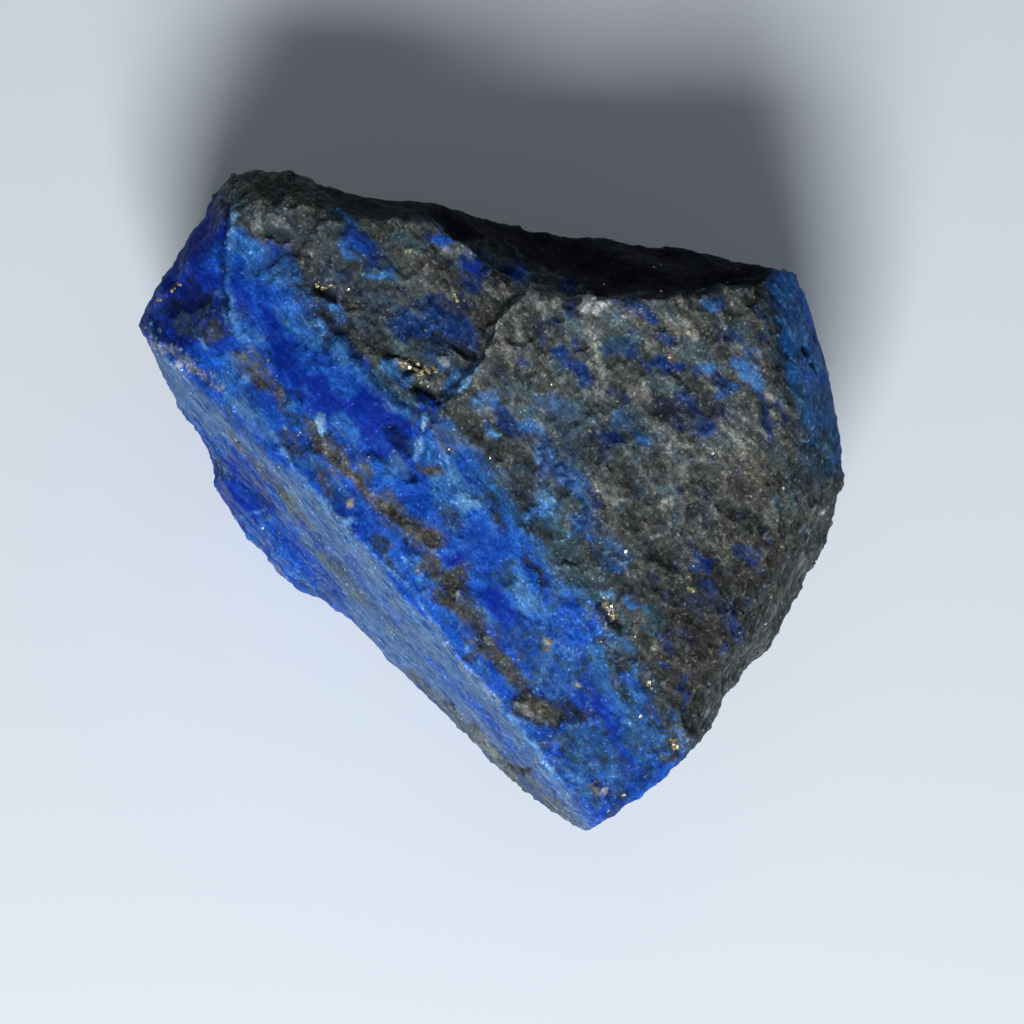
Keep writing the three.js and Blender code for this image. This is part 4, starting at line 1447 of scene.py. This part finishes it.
    def minerals(self, bench: NodeBench, place: Socket, bedded: Socket, jitter: Socket) -> Socket:
        """Colour the ground with the minerals, their lights and darks, painted shade in crevices, painted
        highlight on ridges, and pale hairs partly painted as highlight.

        Args:
            bench: The material's bench.
            place: The point being shaded.
            bedded: The same in space drawn out along the beds.
            jitter: A value for each grain.

        Returns:
            The colour.
        """
        pick = bench.ramp(bench.cloud(bedded, self.choice), self.choice_span)
        tint = bench.mix(pick, bench.painted("tint_wide", "Color"), bench.painted("tint_narrow", "Color"))
        contrast = bench.painted("grain")
        noises = [bench.cloud(bedded, look) for look in self.drawn_swings]
        noises.append(bench.cloud(place, self.fine_swing))
        # The ridge term paints shade in crevices and highlight on ridges.
        swing = bench.maths("ADD", bench.maths("MULTIPLY", bench.painted("ridge"), self.relief_shade_swing),
                            *[bench.swing(cloudy, CLOUD_SPAN, self.cloud_swing) for cloudy in noises],
                            bench.swing(jitter, FULL, self.grain_swing))
        tint = self.shaded(bench, tint, bench.maths("MULTIPLY", swing, contrast))
        # Painted highlight along the crests of fine wrinkles, partly pale strands.
        hair_highlight = bench.ramp(bench.ridges(bedded, self.hair_highlights), self.hair_highlight_span)
        lit = bench.mix(1.0, tint, opaque(self.hair_highlight_light), "MULTIPLY")
        return bench.mix(bench.maths("MULTIPLY", hair_highlight, self.hair_highlight_share, contrast), tint, lit)

    def shaded(self, bench: NodeBench, tint: Socket, swing: Socket) -> Socket:
        """Lighten and darken a tint: grey minerals swing from slate to tan, blue ones from navy to azure.

        Args:
            bench: The material's bench.
            tint: The colour.
            swing: How far each point swings, about -1 to 1.

        Returns:
            The shaded colour.
        """
        stops = bench.maths("MULTIPLY", swing, self.swing_stops)
        lights = []
        for shares in (self.grey_swing, self.blue_swing):
            powers = [bench.maths("POWER", 2.0, bench.maths("MULTIPLY", stops, share)) for share in shares]
            lights.append(bench.node("CombineColor", dict(enumerate(powers))).outputs[0])
        return bench.mix(1.0, tint, bench.mix(bench.painted("blueness"), *lights), "MULTIPLY")

    def lined(self, bench: NodeBench, tint: Socket, place: Socket) -> Socket:
        """Draw the fine lines of the joint face and the smooth strip, the strip's partly painted light and
        shade of its fine ridges, and the joint face's dashes.

        Args:
            bench: The material's bench.
            tint: The colour below.
            place: The point being shaded.

        Returns:
            The colour with its lines.
        """
        streaked = bench.drawn_out(place, BED_DIRECTION, self.line_stretch)
        combed = bench.drawn_out(place, BEVEL_DIRECTION, self.line_stretch)
        joint = bench.painted("joint")
        tint = self.threaded(bench, tint, streaked, joint, self.joint_threads)
        tint = self.threaded(bench, tint, combed, bench.painted("bevel"), self.bevel_lines_light_and_shade)
        nests = bench.swing(bench.cloud(place, self.dash_nests), CLOUD_SPAN, self.nest_swing)
        dash = bench.ramp(bench.maths("ADD", bench.cloud(streaked, self.dashes), nests), self.dash_span)
        cover = bench.maths("MULTIPLY", dash, joint, self.dash_share)
        return bench.mix(cover, tint, opaque(self.dash_colour))

    def threaded(self, bench: NodeBench, tint: Socket, place: Socket, mask: Socket,
                 threads: tuple[Thread, ...]) -> Socket:
        """Draw threads over a tint.

        Args:
            bench: The material's bench.
            tint: The colour below.
            place: Where each point is, in space drawn out along the threads.
            mask: How far each point takes part.
            threads: The threads, in the order they are drawn.

        Returns:
            The colour with its threads.
        """
        for thread in threads:
            look = Clouds(thread.size, Thread.DETAIL, Thread.TWIST)
            line = bench.ramp(bench.cloud(place, look), (thread.least, thread.least + Thread.EDGE))
            tint = bench.mix(bench.maths("MULTIPLY", line, mask, thread.weight), tint, opaque(thread.colour))
        return tint

    def flecked(self, bench: NodeBench, tint: Socket, ragged: Socket) -> Socket:
        """Make a share of small grains pale: partly pale mineral grains, partly painted glints.

        Args:
            bench: The material's bench.
            tint: The colour below.
            ragged: The point being shaded, in space with ragged grains.

        Returns:
            The colour with its flecks.
        """
        chance = bench.channels(bench.grains(ragged, self.fleck_size).outputs["Color"])[1]
        least = bench.maths("SUBTRACT", 1.0, bench.painted("flecks"))
        fleck = bench.maths("GREATER_THAN", chance, least)
        lit = bench.mix(1.0, tint, opaque(self.fleck_glint_light), "MULTIPLY")
        bright = bench.mix(self.fleck_paleness, lit, opaque(self.pale))
        return bench.mix(bench.maths("MULTIPLY", fleck, self.fleck_share), tint, bright)

    def gold_grains(self, bench: NodeBench, place: Socket) -> Socket:
        """Pick the few grains that are pyrite.

        Args:
            bench: The material's bench.
            place: The point being shaded.

        Returns:
            1 in the middles of those grains, and 0 elsewhere.
        """
        cubes = bench.grains(place, self.pyrite_size)
        chance = bench.channels(cubes.outputs["Color"])[2]
        least = bench.maths("SUBTRACT", 1.0, bench.painted("pyrite"))
        near = bench.maths("LESS_THAN", cubes.outputs["Distance"], self.pyrite_reach)
        return bench.maths("MULTIPLY", bench.maths("GREATER_THAN", chance, least), near)

    def relief(self, bench: NodeBench, bedded: Socket, grain: Socket, jitter: Socket) -> Socket:
        """Raise small folds and pores, and tilt every grain's facet its own way.

        Args:
            bench: The material's bench.
            bedded: The point being shaded, in space drawn out along the beds.
            grain: A colour for each grain.
            jitter: A value for each grain.

        Returns:
            The normal.
        """
        contrast = bench.painted("grain")
        height = bench.maths("ADD", bench.maths("MULTIPLY", jitter, self.grain_height),
                             bench.maths("MULTIPLY", bench.cloud(bedded, self.pores), self.pore_height),
                             bench.maths("MULTIPLY", bench.ridges(bedded, self.folds), self.fold_height))
        height = bench.maths("MULTIPLY", height, contrast)
        bump = bench.node("Bump", {"Height": height, "Distance": self.bump_height,
                                   "Strength": self.bump_strength})
        tilt = bench.vector("SCALE", {0: bench.vector("SUBTRACT", {0: grain, 1: MIDDLE}),
                                      "Scale": bench.maths("MULTIPLY", contrast, self.facet_tilt)})
        facet = bench.vector("ADD", {0: bump.outputs["Normal"], 1: tilt})
        return bench.vector("NORMALIZE", {0: facet})


@dataclass(frozen=True)
class PyriteFinish:
    """Tarnished gold metal, striped as pyrite's cube faces are."""

    name: str = "pyrite"
    bright: Colour = (0.80, 0.73, 0.50)
    tarnished: Colour = (0.32, 0.27, 0.15)
    tarnish: Clouds = Clouds(0.5 * MM, 3.0)
    tarnish_span: Span = (0.35, 0.65)
    roughness: Span = (0.42, 0.65)
    stripes: Clouds = Clouds(0.09 * MM, 1.0)
    stripe_height: float = 0.02 * MM
    stripe_strength: float = 0.5

    def build(self) -> bpy.types.Material:
        """Put the material together.

        Returns:
            The material.
        """
        bench = NodeBench(self.name)
        place = bench.place()
        tarnish = bench.ramp(bench.cloud(place, self.tarnish), self.tarnish_span)
        bump = bench.node("Bump", {"Height": bench.cloud(place, self.stripes), "Distance": self.stripe_height,
                                   "Strength": self.stripe_strength})
        bench.feed(bench.surface, {
            "Base Color": bench.mix(tarnish, opaque(self.bright), opaque(self.tarnished)),
            "Metallic": 1.0,
            "Roughness": bench.ramp(tarnish, FULL, self.roughness),
            "Normal": bump.outputs["Normal"],
        })
        return bench.material


@dataclass(frozen=True)
class FloorFinish:
    """Plain pale paper."""

    name: str = "pale_floor"
    colour: Colour = (0.85, 0.92, 0.985)
    roughness: float = 0.9

    def build(self) -> bpy.types.Material:
        """Put the material together.

        Returns:
            The material.
        """
        bench = NodeBench(self.name)
        bench.feed(bench.surface, {"Base Color": opaque(self.colour), "Roughness": self.roughness})
        return bench.material


# --------------------------------------
# The stone
# --------------------------------------


class Ground:
    """The minerals of every vertex, built up as marks are laid one over another.

    wide holds their colours with every mark at its widest, and narrow with every mark at its narrowest: the
    finish picks one or the other grain by grain, which makes fine broken edges.
    """

    SPREAD = 1.8
    LEAST_LIGHT = 0.01
    BLUE_SPAN = (1.3, 3.0)

    def __init__(self, count: int) -> None:
        """Start with plain matrix at every vertex.

        Args:
            count: How many vertices there are.
        """
        tone = MATRIX.value
        self.wide = np.tile(np.array(tone.colour), (count, 1))
        self.narrow = self.wide.copy()
        self.grain = np.full(count, tone.grain)
        self.gloss = np.full(count, tone.gloss)
        self.flecks = np.full(count, tone.flecks)
        self.relief = np.full(count, tone.relief)

    def lay(self, mineral: Mineral, wide: Array, narrow: Array) -> None:
        """Lay a mineral over what is there.

        Args:
            mineral: The mineral.
            wide: Cover of each vertex at the mark's widest.
            narrow: Cover of each vertex at the mark's narrowest.
        """
        tone = mineral.value
        colour = np.array(tone.colour)
        self.wide += (colour - self.wide) * wide[:, None]
        self.narrow += (colour - self.narrow) * narrow[:, None]
        mean = (wide + narrow) / 2
        self.grain += (tone.grain - self.grain) * mean
        self.gloss += (tone.gloss - self.gloss) * mean
        self.flecks += (tone.flecks - self.flecks) * mean
        self.relief += (tone.relief - self.relief) * mean

    def mark(self, marks: Iterable[Mark], spots: Array, fields: Fields, mask: Array) -> None:
        """Lay marks of the chart in their order.

        Args:
            marks: The marks.
            spots: Where each vertex falls on the chart.
            fields: The noise that the marks go by.
            mask: How far each vertex takes part, from 0 to 1.
        """
        for laid in marks:
            cover = laid.cover(spots, fields) * mask
            self.lay(laid.mineral, 1.0 - (1.0 - cover) ** self.SPREAD, cover ** self.SPREAD)

    def blueness(self) -> Array:
        """Share of each vertex that is blue rather than grey."""
        others = self.wide[:, 0] + self.wide[:, 1] + self.LEAST_LIGHT
        return smooth_step(*self.BLUE_SPAN, self.wide[:, 2] / others)


class Texture(Enum):
    """The textures that raise and sink the surface."""

    CLOUDS = "CLOUDS"
    RIDGES = "MUSGRAVE"
    CELLS = "VORONOI"


@dataclass(frozen=True)
class Relief:
    """A texture that raises and sinks the surface of one zone.

    size is the size of its features, and height the distance from its lowest to its highest.
    """

    name: str
    kind: Texture
    size: float
    height: float
    zone: Zone = Zone.ROUGH

    HALFWAY = 0.5
    RIDGE_STEPS = 3.0
    RIDGE_STRENGTH = 0.5

    def texture(self) -> bpy.types.Texture:
        """Make the texture.

        Returns:
            The texture.
        """
        made = bpy.data.textures.new(self.name, self.kind.value)
        made.noise_scale = self.size
        if self.kind is Texture.RIDGES:
            made.musgrave_type = "RIDGED_MULTIFRACTAL"
            made.octaves = self.RIDGE_STEPS
            made.noise_intensity = self.RIDGE_STRENGTH
        return made


RELIEFS = (
    Relief("lumps", Texture.CLOUDS, 5.0 * MM, 1.3 * MM),
    Relief("wrinkles", Texture.RIDGES, 3.0 * MM, 0.8 * MM),
    Relief("knobs", Texture.CLOUDS, 2.0 * MM, 0.6 * MM),
    Relief("crumbs", Texture.CELLS, 1.2 * MM, 0.30 * MM),
    Relief("grit", Texture.CLOUDS, 0.8 * MM, 0.45 * MM),
    Relief("skin", Texture.CLOUDS, 0.7 * MM, 0.16 * MM, Zone.BROKEN),
)


@dataclass(frozen=True)
class Drift:
    """How marks are pushed off their squares, so that their edges wander; reach is in squares."""

    size: float
    reach: float
    seeds: tuple[int, int]

    STEPS = 2

    def at(self, points: Array) -> Array:
        """Push across and down at each point."""
        ways = [clouds(points, self.size, seed, self.STEPS) for seed in self.seeds]
        return np.column_stack(ways) * self.reach


@dataclass
class Stone:
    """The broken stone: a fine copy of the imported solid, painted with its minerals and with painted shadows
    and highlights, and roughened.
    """

    chart: Chart
    name: str = "lapis_lazuli_stone"
    piece: bpy.types.Object | None = None
    joint_normal: Line = (-0.751, -0.647, 0.132)

    merge_distance: float = 0.001 * MM
    coarse_step: float = 0.73 * MM
    smoothing: float = 0.5
    coarse_rounds: int = 4
    fine_rounds: int = 3
    least_facing: float = 0.16

    bed_squeeze: float = 1.2
    layer_wave: float = 3.0 * MM
    layer_wave_size: float = 9.0 * MM
    layer_seed: int = 31
    near_blue_depth: Span = (4.0 * MM, 9.0 * MM)
    far_blue_depth: Span = (28.0 * MM, 32.0 * MM)

    drifts: tuple[Drift, ...] = (Drift(4.5 * MM, 5.0, (21, 22)), Drift(1.4 * MM, 3.5, (23, 24)))
    steady_share: float = 0.5
    mark_stretch: float = 0.55
    fray: float = 0.9
    fray_size: float = 2.0 * MM
    fray_seed: int = 25
    cloud_seeds: tuple[int, ...] = (41, 42, 43, 44, 45)
    grain_size: float = 0.55 * MM
    grain_seed: int = 1
    uneven_size: float = 1.5 * MM
    uneven_seed: int = 26
    uneven_middle: float = 0.95
    uneven_reach: float = 0.6
    uneven_span: Span = (0.65, 1.0)

    facing_span: Span = (0.03, 0.16)
    joint_span: Span = (0.35, 0.55)
    level_span: Span = (0.45, 0.70)
    foot_span: Span = (0.2, 0.4)
    shade_fray: float = 0.25
    shade_span: Span = (-0.20, 0.12)

    pyrite_share: float = 0.002
    floor_band: Span = (0.1 * MM, 1.2 * MM)
    rough_span: Span = (0.30, 0.95)

    mark_height: float = 1.0 * MM
    joint_streaks: Relief = Relief("streaks", Texture.CLOUDS, 0.5, 0.55 * MM, Zone.JOINT)
    streak_sizes: Line = (9.0 * MM, 1.3 * MM, 3.0 * MM)
    ridge_levels: tuple[tuple[int, float], ...] = ((3, 0.6), (22, 0.5))
    ridge_reach: float = 2.0

    def build(self) -> bpy.types.Object:
        """Make the whole piece.

        Returns:
            The piece, dressed, on its body and in its node's place.
        """
        self.copy_solid()
        self.refine()
        self.paint()
        self.roughen()
        self.shade_ridges()
        self.dress()
        return self.piece

    def copy_solid(self) -> None:
        """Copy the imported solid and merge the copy's loose triangles."""
        solid = frame["nodes"][NODE]
        select_only(solid)
        bpy.ops.object.duplicate()
        piece = bpy.context.view_layer.objects.active
        piece.parent = None
        piece.matrix_world = Matrix.Identity(4)
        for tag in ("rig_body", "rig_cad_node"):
            del piece[tag]
        piece.name = piece.data.name = self.name
        piece.data.materials.clear()
        select_only(piece)
        bpy.ops.object.mode_set(mode="EDIT")
        bpy.ops.mesh.select_all(action="SELECT")
        bpy.ops.mesh.remove_doubles(threshold=self.merge_distance)
        bpy.ops.object.mode_set(mode="OBJECT")
        self.piece = piece

    def refine(self) -> None:
        """Give the copy an even mesh, and the faces that show most a finer one."""
        apply_modifier(self.piece, "REMESH", mode="VOXEL", voxel_size=self.coarse_step)
        apply_modifier(self.piece, "SMOOTH", factor=self.smoothing, iterations=self.coarse_rounds)
        mesh = self.piece.data
        normals = np.empty(len(mesh.polygons) * 3)
        mesh.polygons.foreach_get("normal", normals)
        facing = normals.reshape(-1, 3) @ np.array(self.chart.towards_eye)
        select_only(self.piece)
        bpy.context.tool_settings.mesh_select_mode = (False, False, True)
        bpy.ops.object.mode_set(mode="EDIT")
        bpy.ops.mesh.select_all(action="DESELECT")
        bpy.ops.object.mode_set(mode="OBJECT")
        mesh.polygons.foreach_set("select", facing > self.least_facing)
        bpy.ops.object.mode_set(mode="EDIT")
        bpy.ops.mesh.subdivide(number_cuts=1, smoothness=0.0)
        bpy.ops.object.mode_set(mode="OBJECT")
        apply_modifier(self.piece, "SMOOTH", factor=self.smoothing, iterations=self.fine_rounds)

    def paint(self) -> None:
        """Work out the minerals, painted shadows and highlights of every vertex, and store them for the
        finish and the relief.
        """
        mesh = self.piece.data
        points, normals = vertex_values(mesh, "co"), vertex_values(mesh, "normal")
        ground = Ground(len(points))
        self.lay_beds(ground, points)
        faces = self.lay_marks(ground, points, normals)
        blueness = ground.blueness()
        stored = {
            "tint_wide": ground.wide,
            "tint_narrow": ground.narrow,
            "grain": ground.grain,
            "gloss": ground.gloss,
            "flecks": ground.flecks,
            "joint": faces["joint"] * (1.0 - faces["foot"]),
            "bevel": faces["bevel"],
            "blueness": blueness,
            "pyrite": self.pyrite_share + self.pyrite_share * blueness,
        }
        for name, values in stored.items():
            set_attribute(mesh, name, values)
        off_floor = smooth_step(*self.floor_band, points[:, 2])
        weights = {
            Zone.ROUGH: smooth_step(*self.rough_span, ground.grain),
            Zone.JOINT: faces["joint"],
            Zone.BROKEN: np.ones(len(points)),
            Zone.RAISED: ground.relief,
            Zone.SUNK: -ground.relief,
        }
        for zone, weight in weights.items():
            set_zone(self.piece, zone, weight * off_floor)

    def lay_beds(self, ground: Ground, points: Array) -> None:
        """Lay the beds: blue ones near the joint face and deep behind it, and grey ones between.

        Args:
            ground: The minerals so far.
            points: The vertices, one a row.
        """
        joint = np.array(self.joint_normal)
        bedded = points + np.outer(points @ joint, joint) * self.bed_squeeze
        depth = points @ joint + self.layer_wave * clouds(points, self.layer_wave_size, self.layer_seed)
        blue = smooth_step(*self.near_blue_depth, depth) + smooth_step(*self.far_blue_depth, -depth)
        for beds, layer in ((GREY_BEDS, 1.0), (BLUE_BEDS, blue)):
            for bed in beds:
                cover = bed.cover(bedded) * layer
                ground.lay(bed.mineral, cover, cover)

    def lay_marks(self, ground: Ground, points: Array, normals: Array) -> dict[str, Array]:
        """Lay the marks, each group on its own faces.

        Args:
            ground: The minerals so far.
            points: The vertices, one a row.
            normals: Their normals, one a row.

        Returns:
            How far each vertex lies on the joint face, the foot and the bevel, from 0 to 1.
        """
        drift = sum(push.at(points) for push in self.drifts)
        spots = self.chart.squares_of(points) + drift
        steady = spots - drift * self.steady_share
        bed_line = np.array(BED_DIRECTION)
        drawn = points - np.outer(points @ bed_line, bed_line) * self.mark_stretch
        seeds = (self.fray_seed, *self.cloud_seeds)
        fray, *others = (clouds(drawn, self.fray_size, seed, FINE_STEPS) for seed in seeds)
        grains = grain_values(points, self.grain_size, self.grain_seed)
        fields = Fields(fray * self.fray, grains, tuple(others))
        patchy = self.uneven_reach * clouds(drawn, self.uneven_size, self.uneven_seed, FINE_STEPS)
        uneven = np.clip(self.uneven_middle + patchy, *self.uneven_span)

        towards_eye = normals @ np.array(self.chart.towards_eye)
        towards_joint = normals @ np.array(self.joint_normal)
        facing = smooth_step(*self.facing_span, towards_eye)
        on_joint = smooth_step(*self.joint_span, towards_joint)
        on_joint *= 1.0 - smooth_step(*self.level_span, normals[:, 2])
        off_joint = facing * (1.0 - on_joint)
        shaded = smooth_step(*self.shade_span, towards_eye + self.shade_fray * fields.clouds[0])
        lower_left = smooth_step(*self.foot_span, towards_joint)

        ground.mark(GROUND, spots, fields, facing)
        ground.mark(TOP_MARKS, spots, fields, off_joint * uneven)
        # Painted shadow: the faces turned from the eye are laid near-black.
        ground.mark(BACK_FACE_SHADOW, spots, fields, shaded)
        ground.mark(RIGHT_EDGE, steady, fields, off_joint)
        for marks, face in ((JOINT_FACE, facing * on_joint), (FOOT, lower_left)):
            ground.mark(marks[:1], steady, fields, face)
            ground.mark(marks[1:], steady, fields, face * uneven)
        ground.mark(DETAILS, steady, fields, off_joint)
        ground.mark(CREST, steady, fields, facing)
        return {
            "joint": on_joint,
            "foot": FOOT[0].cover(steady, fields),
            "bevel": RIGHT_EDGE[0].cover(steady, fields) * facing,
        }

    def roughen(self) -> None:
        """Raise the broken surface: lumps, knobs, crumbs, the joint face's streaks, lips and pits."""
        for relief in RELIEFS:
            apply_modifier(self.piece, "DISPLACE", texture=relief.texture(), texture_coords="LOCAL",
                           strength=relief.height, mid_level=Relief.HALFWAY, vertex_group=relief.zone.value)
        self.streak_joint()
        for zone, height in ((Zone.RAISED, self.mark_height), (Zone.SUNK, -self.mark_height)):
            apply_modifier(self.piece, "DISPLACE", strength=height, mid_level=0.0, vertex_group=zone.value)
        select_only(self.piece)
        bpy.ops.object.shade_smooth()

    def streak_joint(self) -> None:
        """Draw fine raised streaks along the beds of the joint face."""
        streaks = self.joint_streaks
        bpy.ops.object.empty_add()
        guide = bpy.context.view_layer.objects.active
        along = Vector(BED_DIRECTION)
        across = Vector(self.joint_normal).cross(along).normalized()
        out = along.cross(across)
        turn = Matrix((along, across, out)).transposed().to_4x4()
        guide.matrix_world = turn @ Matrix.Diagonal((*self.streak_sizes, 1.0))
        apply_modifier(self.piece, "DISPLACE", texture=streaks.texture(), texture_coords="OBJECT",
                       texture_coords_object=guide, strength=streaks.height, mid_level=Relief.HALFWAY,
                       vertex_group=streaks.zone.value)
        bpy.data.objects.remove(guide)

    def shade_ridges(self) -> None:
        """Store how far each vertex stands over what is round it, from -1 in a crevice to 1 on a ridge; the
        finish paints shade and highlight from it.
        """
        mesh = self.piece.data
        points, normals = vertex_values(mesh, "co"), vertex_values(mesh, "normal")
        ends = np.empty(len(mesh.edges) * 2, np.int32)
        mesh.edges.foreach_get("vertices", ends)
        one, other = ends.reshape(-1, 2).T
        near, far = np.concatenate((one, other)), np.concatenate((other, one))
        neighbours = np.bincount(near, minlength=len(points))[:, None]
        level, ridge = points, np.zeros(len(points))
        for rounds, weight in self.ridge_levels:
            for _ in range(rounds):
                sums = [np.bincount(near, level[far, axis], len(points)) for axis in range(3)]
                level = 0.5 * level + 0.5 * np.column_stack(sums) / neighbours
            height = ((points - level) * normals).sum(axis=1)
            ridge += weight * np.clip(height / (self.ridge_reach * height.std()), -1.0, 1.0)
        set_attribute(mesh, "ridge", ridge)

    def dress(self) -> None:
        """Give the piece its finish, its body and its node's place."""
        self.piece.data.materials.append(LapisFinish().build())
        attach(self.piece, BODY)
        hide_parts(NODE)


@dataclass
class PyriteGrains:
    """Small pyrite cubes, part sunk in the stone: in nests, and strewn one by one over its top."""

    chart: Chart
    stone: bpy.types.Object
    name: str = "pyrite_grains"
    strewn: int = 40
    strewn_across: Span = (220.0, 800.0)
    strewn_down: Span = (240.0, 780.0)
    smallest: float = 0.24 * MM
    largest: float = 0.62 * MM
    sunk_share: float = 0.25
    bevel_share: float = 0.16
    seed: int = 11

    def build(self) -> bpy.types.Object:
        """Make the grains.

        Returns:
            All the grains as one piece.
        """
        chance = random.Random(self.seed)
        grains = []
        for (x, y), reach, count in PYRITE_NESTS:
            for _ in range(count):
                spot = (chance.gauss(x, reach), chance.gauss(y, reach))
                grains.append(self.grain(spot, chance.uniform(self.smallest, self.largest), chance))
        for _ in range(self.strewn):
            spot = (chance.uniform(*self.strewn_across), chance.uniform(*self.strewn_down))
            grains.append(self.grain(spot, self.smallest, chance))
        grains = [grain for grain in grains if grain]
        bpy.ops.object.select_all(action="DESELECT")
        for grain in grains:
            grain.select_set(True)
        bpy.context.view_layer.objects.active = grains[0]
        bpy.ops.object.join()
        piece = bpy.context.view_layer.objects.active
        bpy.ops.object.transform_apply(location=True, rotation=True, scale=True)
        piece.name = piece.data.name = self.name
        piece.data.materials.clear()
        piece.data.materials.append(PyriteFinish().build())
        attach(piece, BODY)
        return piece

    def grain(self, spot: Point, size: float, chance: random.Random) -> bpy.types.Object | None:
        """Make one grain where the line of sight through a chart square meets the stone.

        Args:
            spot: The chart square.
            size: The grain's width.
            chance: Gives its turn.

        Returns:
            The grain, or None where the line misses the stone.
        """
        half = self.chart.squares / 2
        aim = Vector(self.chart.middle) + self.chart.square * (
            Vector((spot[0] - half, 0.0, 0.0)) + (half - spot[1]) * self.chart.up)
        hit, place, normal, _ = self.stone.ray_cast(self.chart.eye, (aim - self.chart.eye).normalized())
        if not hit:
            return None
        bpy.ops.mesh.primitive_cube_add(size=size, location=place - normal * size * self.sunk_share,
                                        rotation=[chance.uniform(0, math.tau) for _ in range(3)])
        grain = bpy.context.view_layer.objects.active
        bpy.ops.object.mode_set(mode="EDIT")
        bpy.ops.mesh.select_all(action="SELECT")
        bpy.ops.mesh.bevel(offset=size * self.bevel_share, segments=1)
        bpy.ops.object.mode_set(mode="OBJECT")
        return grain


# --------------------------------------
# The studio
# --------------------------------------


@dataclass
class Studio:
    """Pale floor, soft light and the camera."""

    chart: Chart
    sensor: float = 36.0
    clip: Span = (0.01, 10.0)
    floor_side: float = 3.0
    light_distance: float = 0.85
    key_power: float = 7.7
    key_side: float = 0.35
    key_azimuth: float = math.radians(-4)
    key_elevation: float = math.radians(42)
    fill_power: float = 0.55
    fill_side: float = 0.9
    fill_direction: Line = (0.25, 0.35, 0.9)
    world_colour: Colour = (0.80, 0.87, 0.95)
    world_strength: float = 0.08

    def build(self) -> None:
        """Set up the floor, the lights and the camera."""
        self.lay_floor()
        key = (math.sin(self.key_azimuth) * math.cos(self.key_elevation),
               -math.cos(self.key_azimuth) * math.cos(self.key_elevation), math.sin(self.key_elevation))
        self.hang_light("key_light", key, self.key_power, self.key_side)
        self.hang_light("fill_light", self.fill_direction, self.fill_power, self.fill_side)
        self.set_world()
        self.set_camera()

    def lay_floor(self) -> None:
        """Lay the floor under the stone."""
        bpy.ops.object.select_all(action="DESELECT")
        bpy.ops.mesh.primitive_plane_add(size=self.floor_side, location=(0.0, 0.0, 0.0))
        floor = bpy.context.view_layer.objects.active
        floor.name = floor.data.name = "floor"
        floor.data.materials.append(FloorFinish().build())

    def hang_light(self, name: str, direction: Line, power: float, side: float) -> None:
        """Hang a square soft light that faces the stone.

        Args:
            name: The light's name.
            direction: Direction from the stone to the light.
            power: Its power in watts.
            side: Its width.
        """
        place = Vector(direction).normalized() * self.light_distance
        bpy.ops.object.light_add(type="AREA", location=place)
        light = bpy.context.view_layer.objects.active
        light.name = light.data.name = name
        light.rotation_euler = place.to_track_quat("Z", "Y").to_euler()
        light.data.shape = "SQUARE"
        light.data.size = side
        light.data.energy = power

    def set_world(self) -> None:
        """Give the surroundings a weak pale glow."""
        world = bpy.data.worlds.new("studio")
        world.use_nodes = True
        background = world.node_tree.nodes["Background"]
        background.inputs["Color"].default_value = opaque(self.world_colour)
        background.inputs["Strength"].default_value = self.world_strength
        bpy.context.scene.world = world
        bpy.context.scene.view_settings.view_transform = "Standard"

    def set_camera(self) -> None:
        """Stand the camera where the chart's eye is."""
        bpy.ops.object.camera_add(location=self.chart.eye)
        camera = bpy.context.view_layer.objects.active
        camera.rotation_euler = self.chart.towards_eye.to_track_quat("Z", "Y").to_euler()
        camera.data.sensor_width = self.sensor
        camera.data.lens = self.sensor * self.chart.distance / (self.chart.squares * self.chart.square)
        camera.data.clip_start, camera.data.clip_end = self.clip
        bpy.context.scene.camera = camera


def main() -> None:
    """Build the pieces in order and report each."""
    logging.basicConfig(level=logging.INFO, format="%(message)s")
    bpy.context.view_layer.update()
    chart = Chart()
    stone = Stone(chart).build()
    LOG.info("%s: %d vertices, %d faces", stone.name, len(stone.data.vertices), len(stone.data.polygons))
    pyrite = PyriteGrains(chart, stone).build()
    LOG.info("%s: %d faces", pyrite.name, len(pyrite.data.polygons))
    Studio(chart).build()


if __name__ == "__main__":
    main()
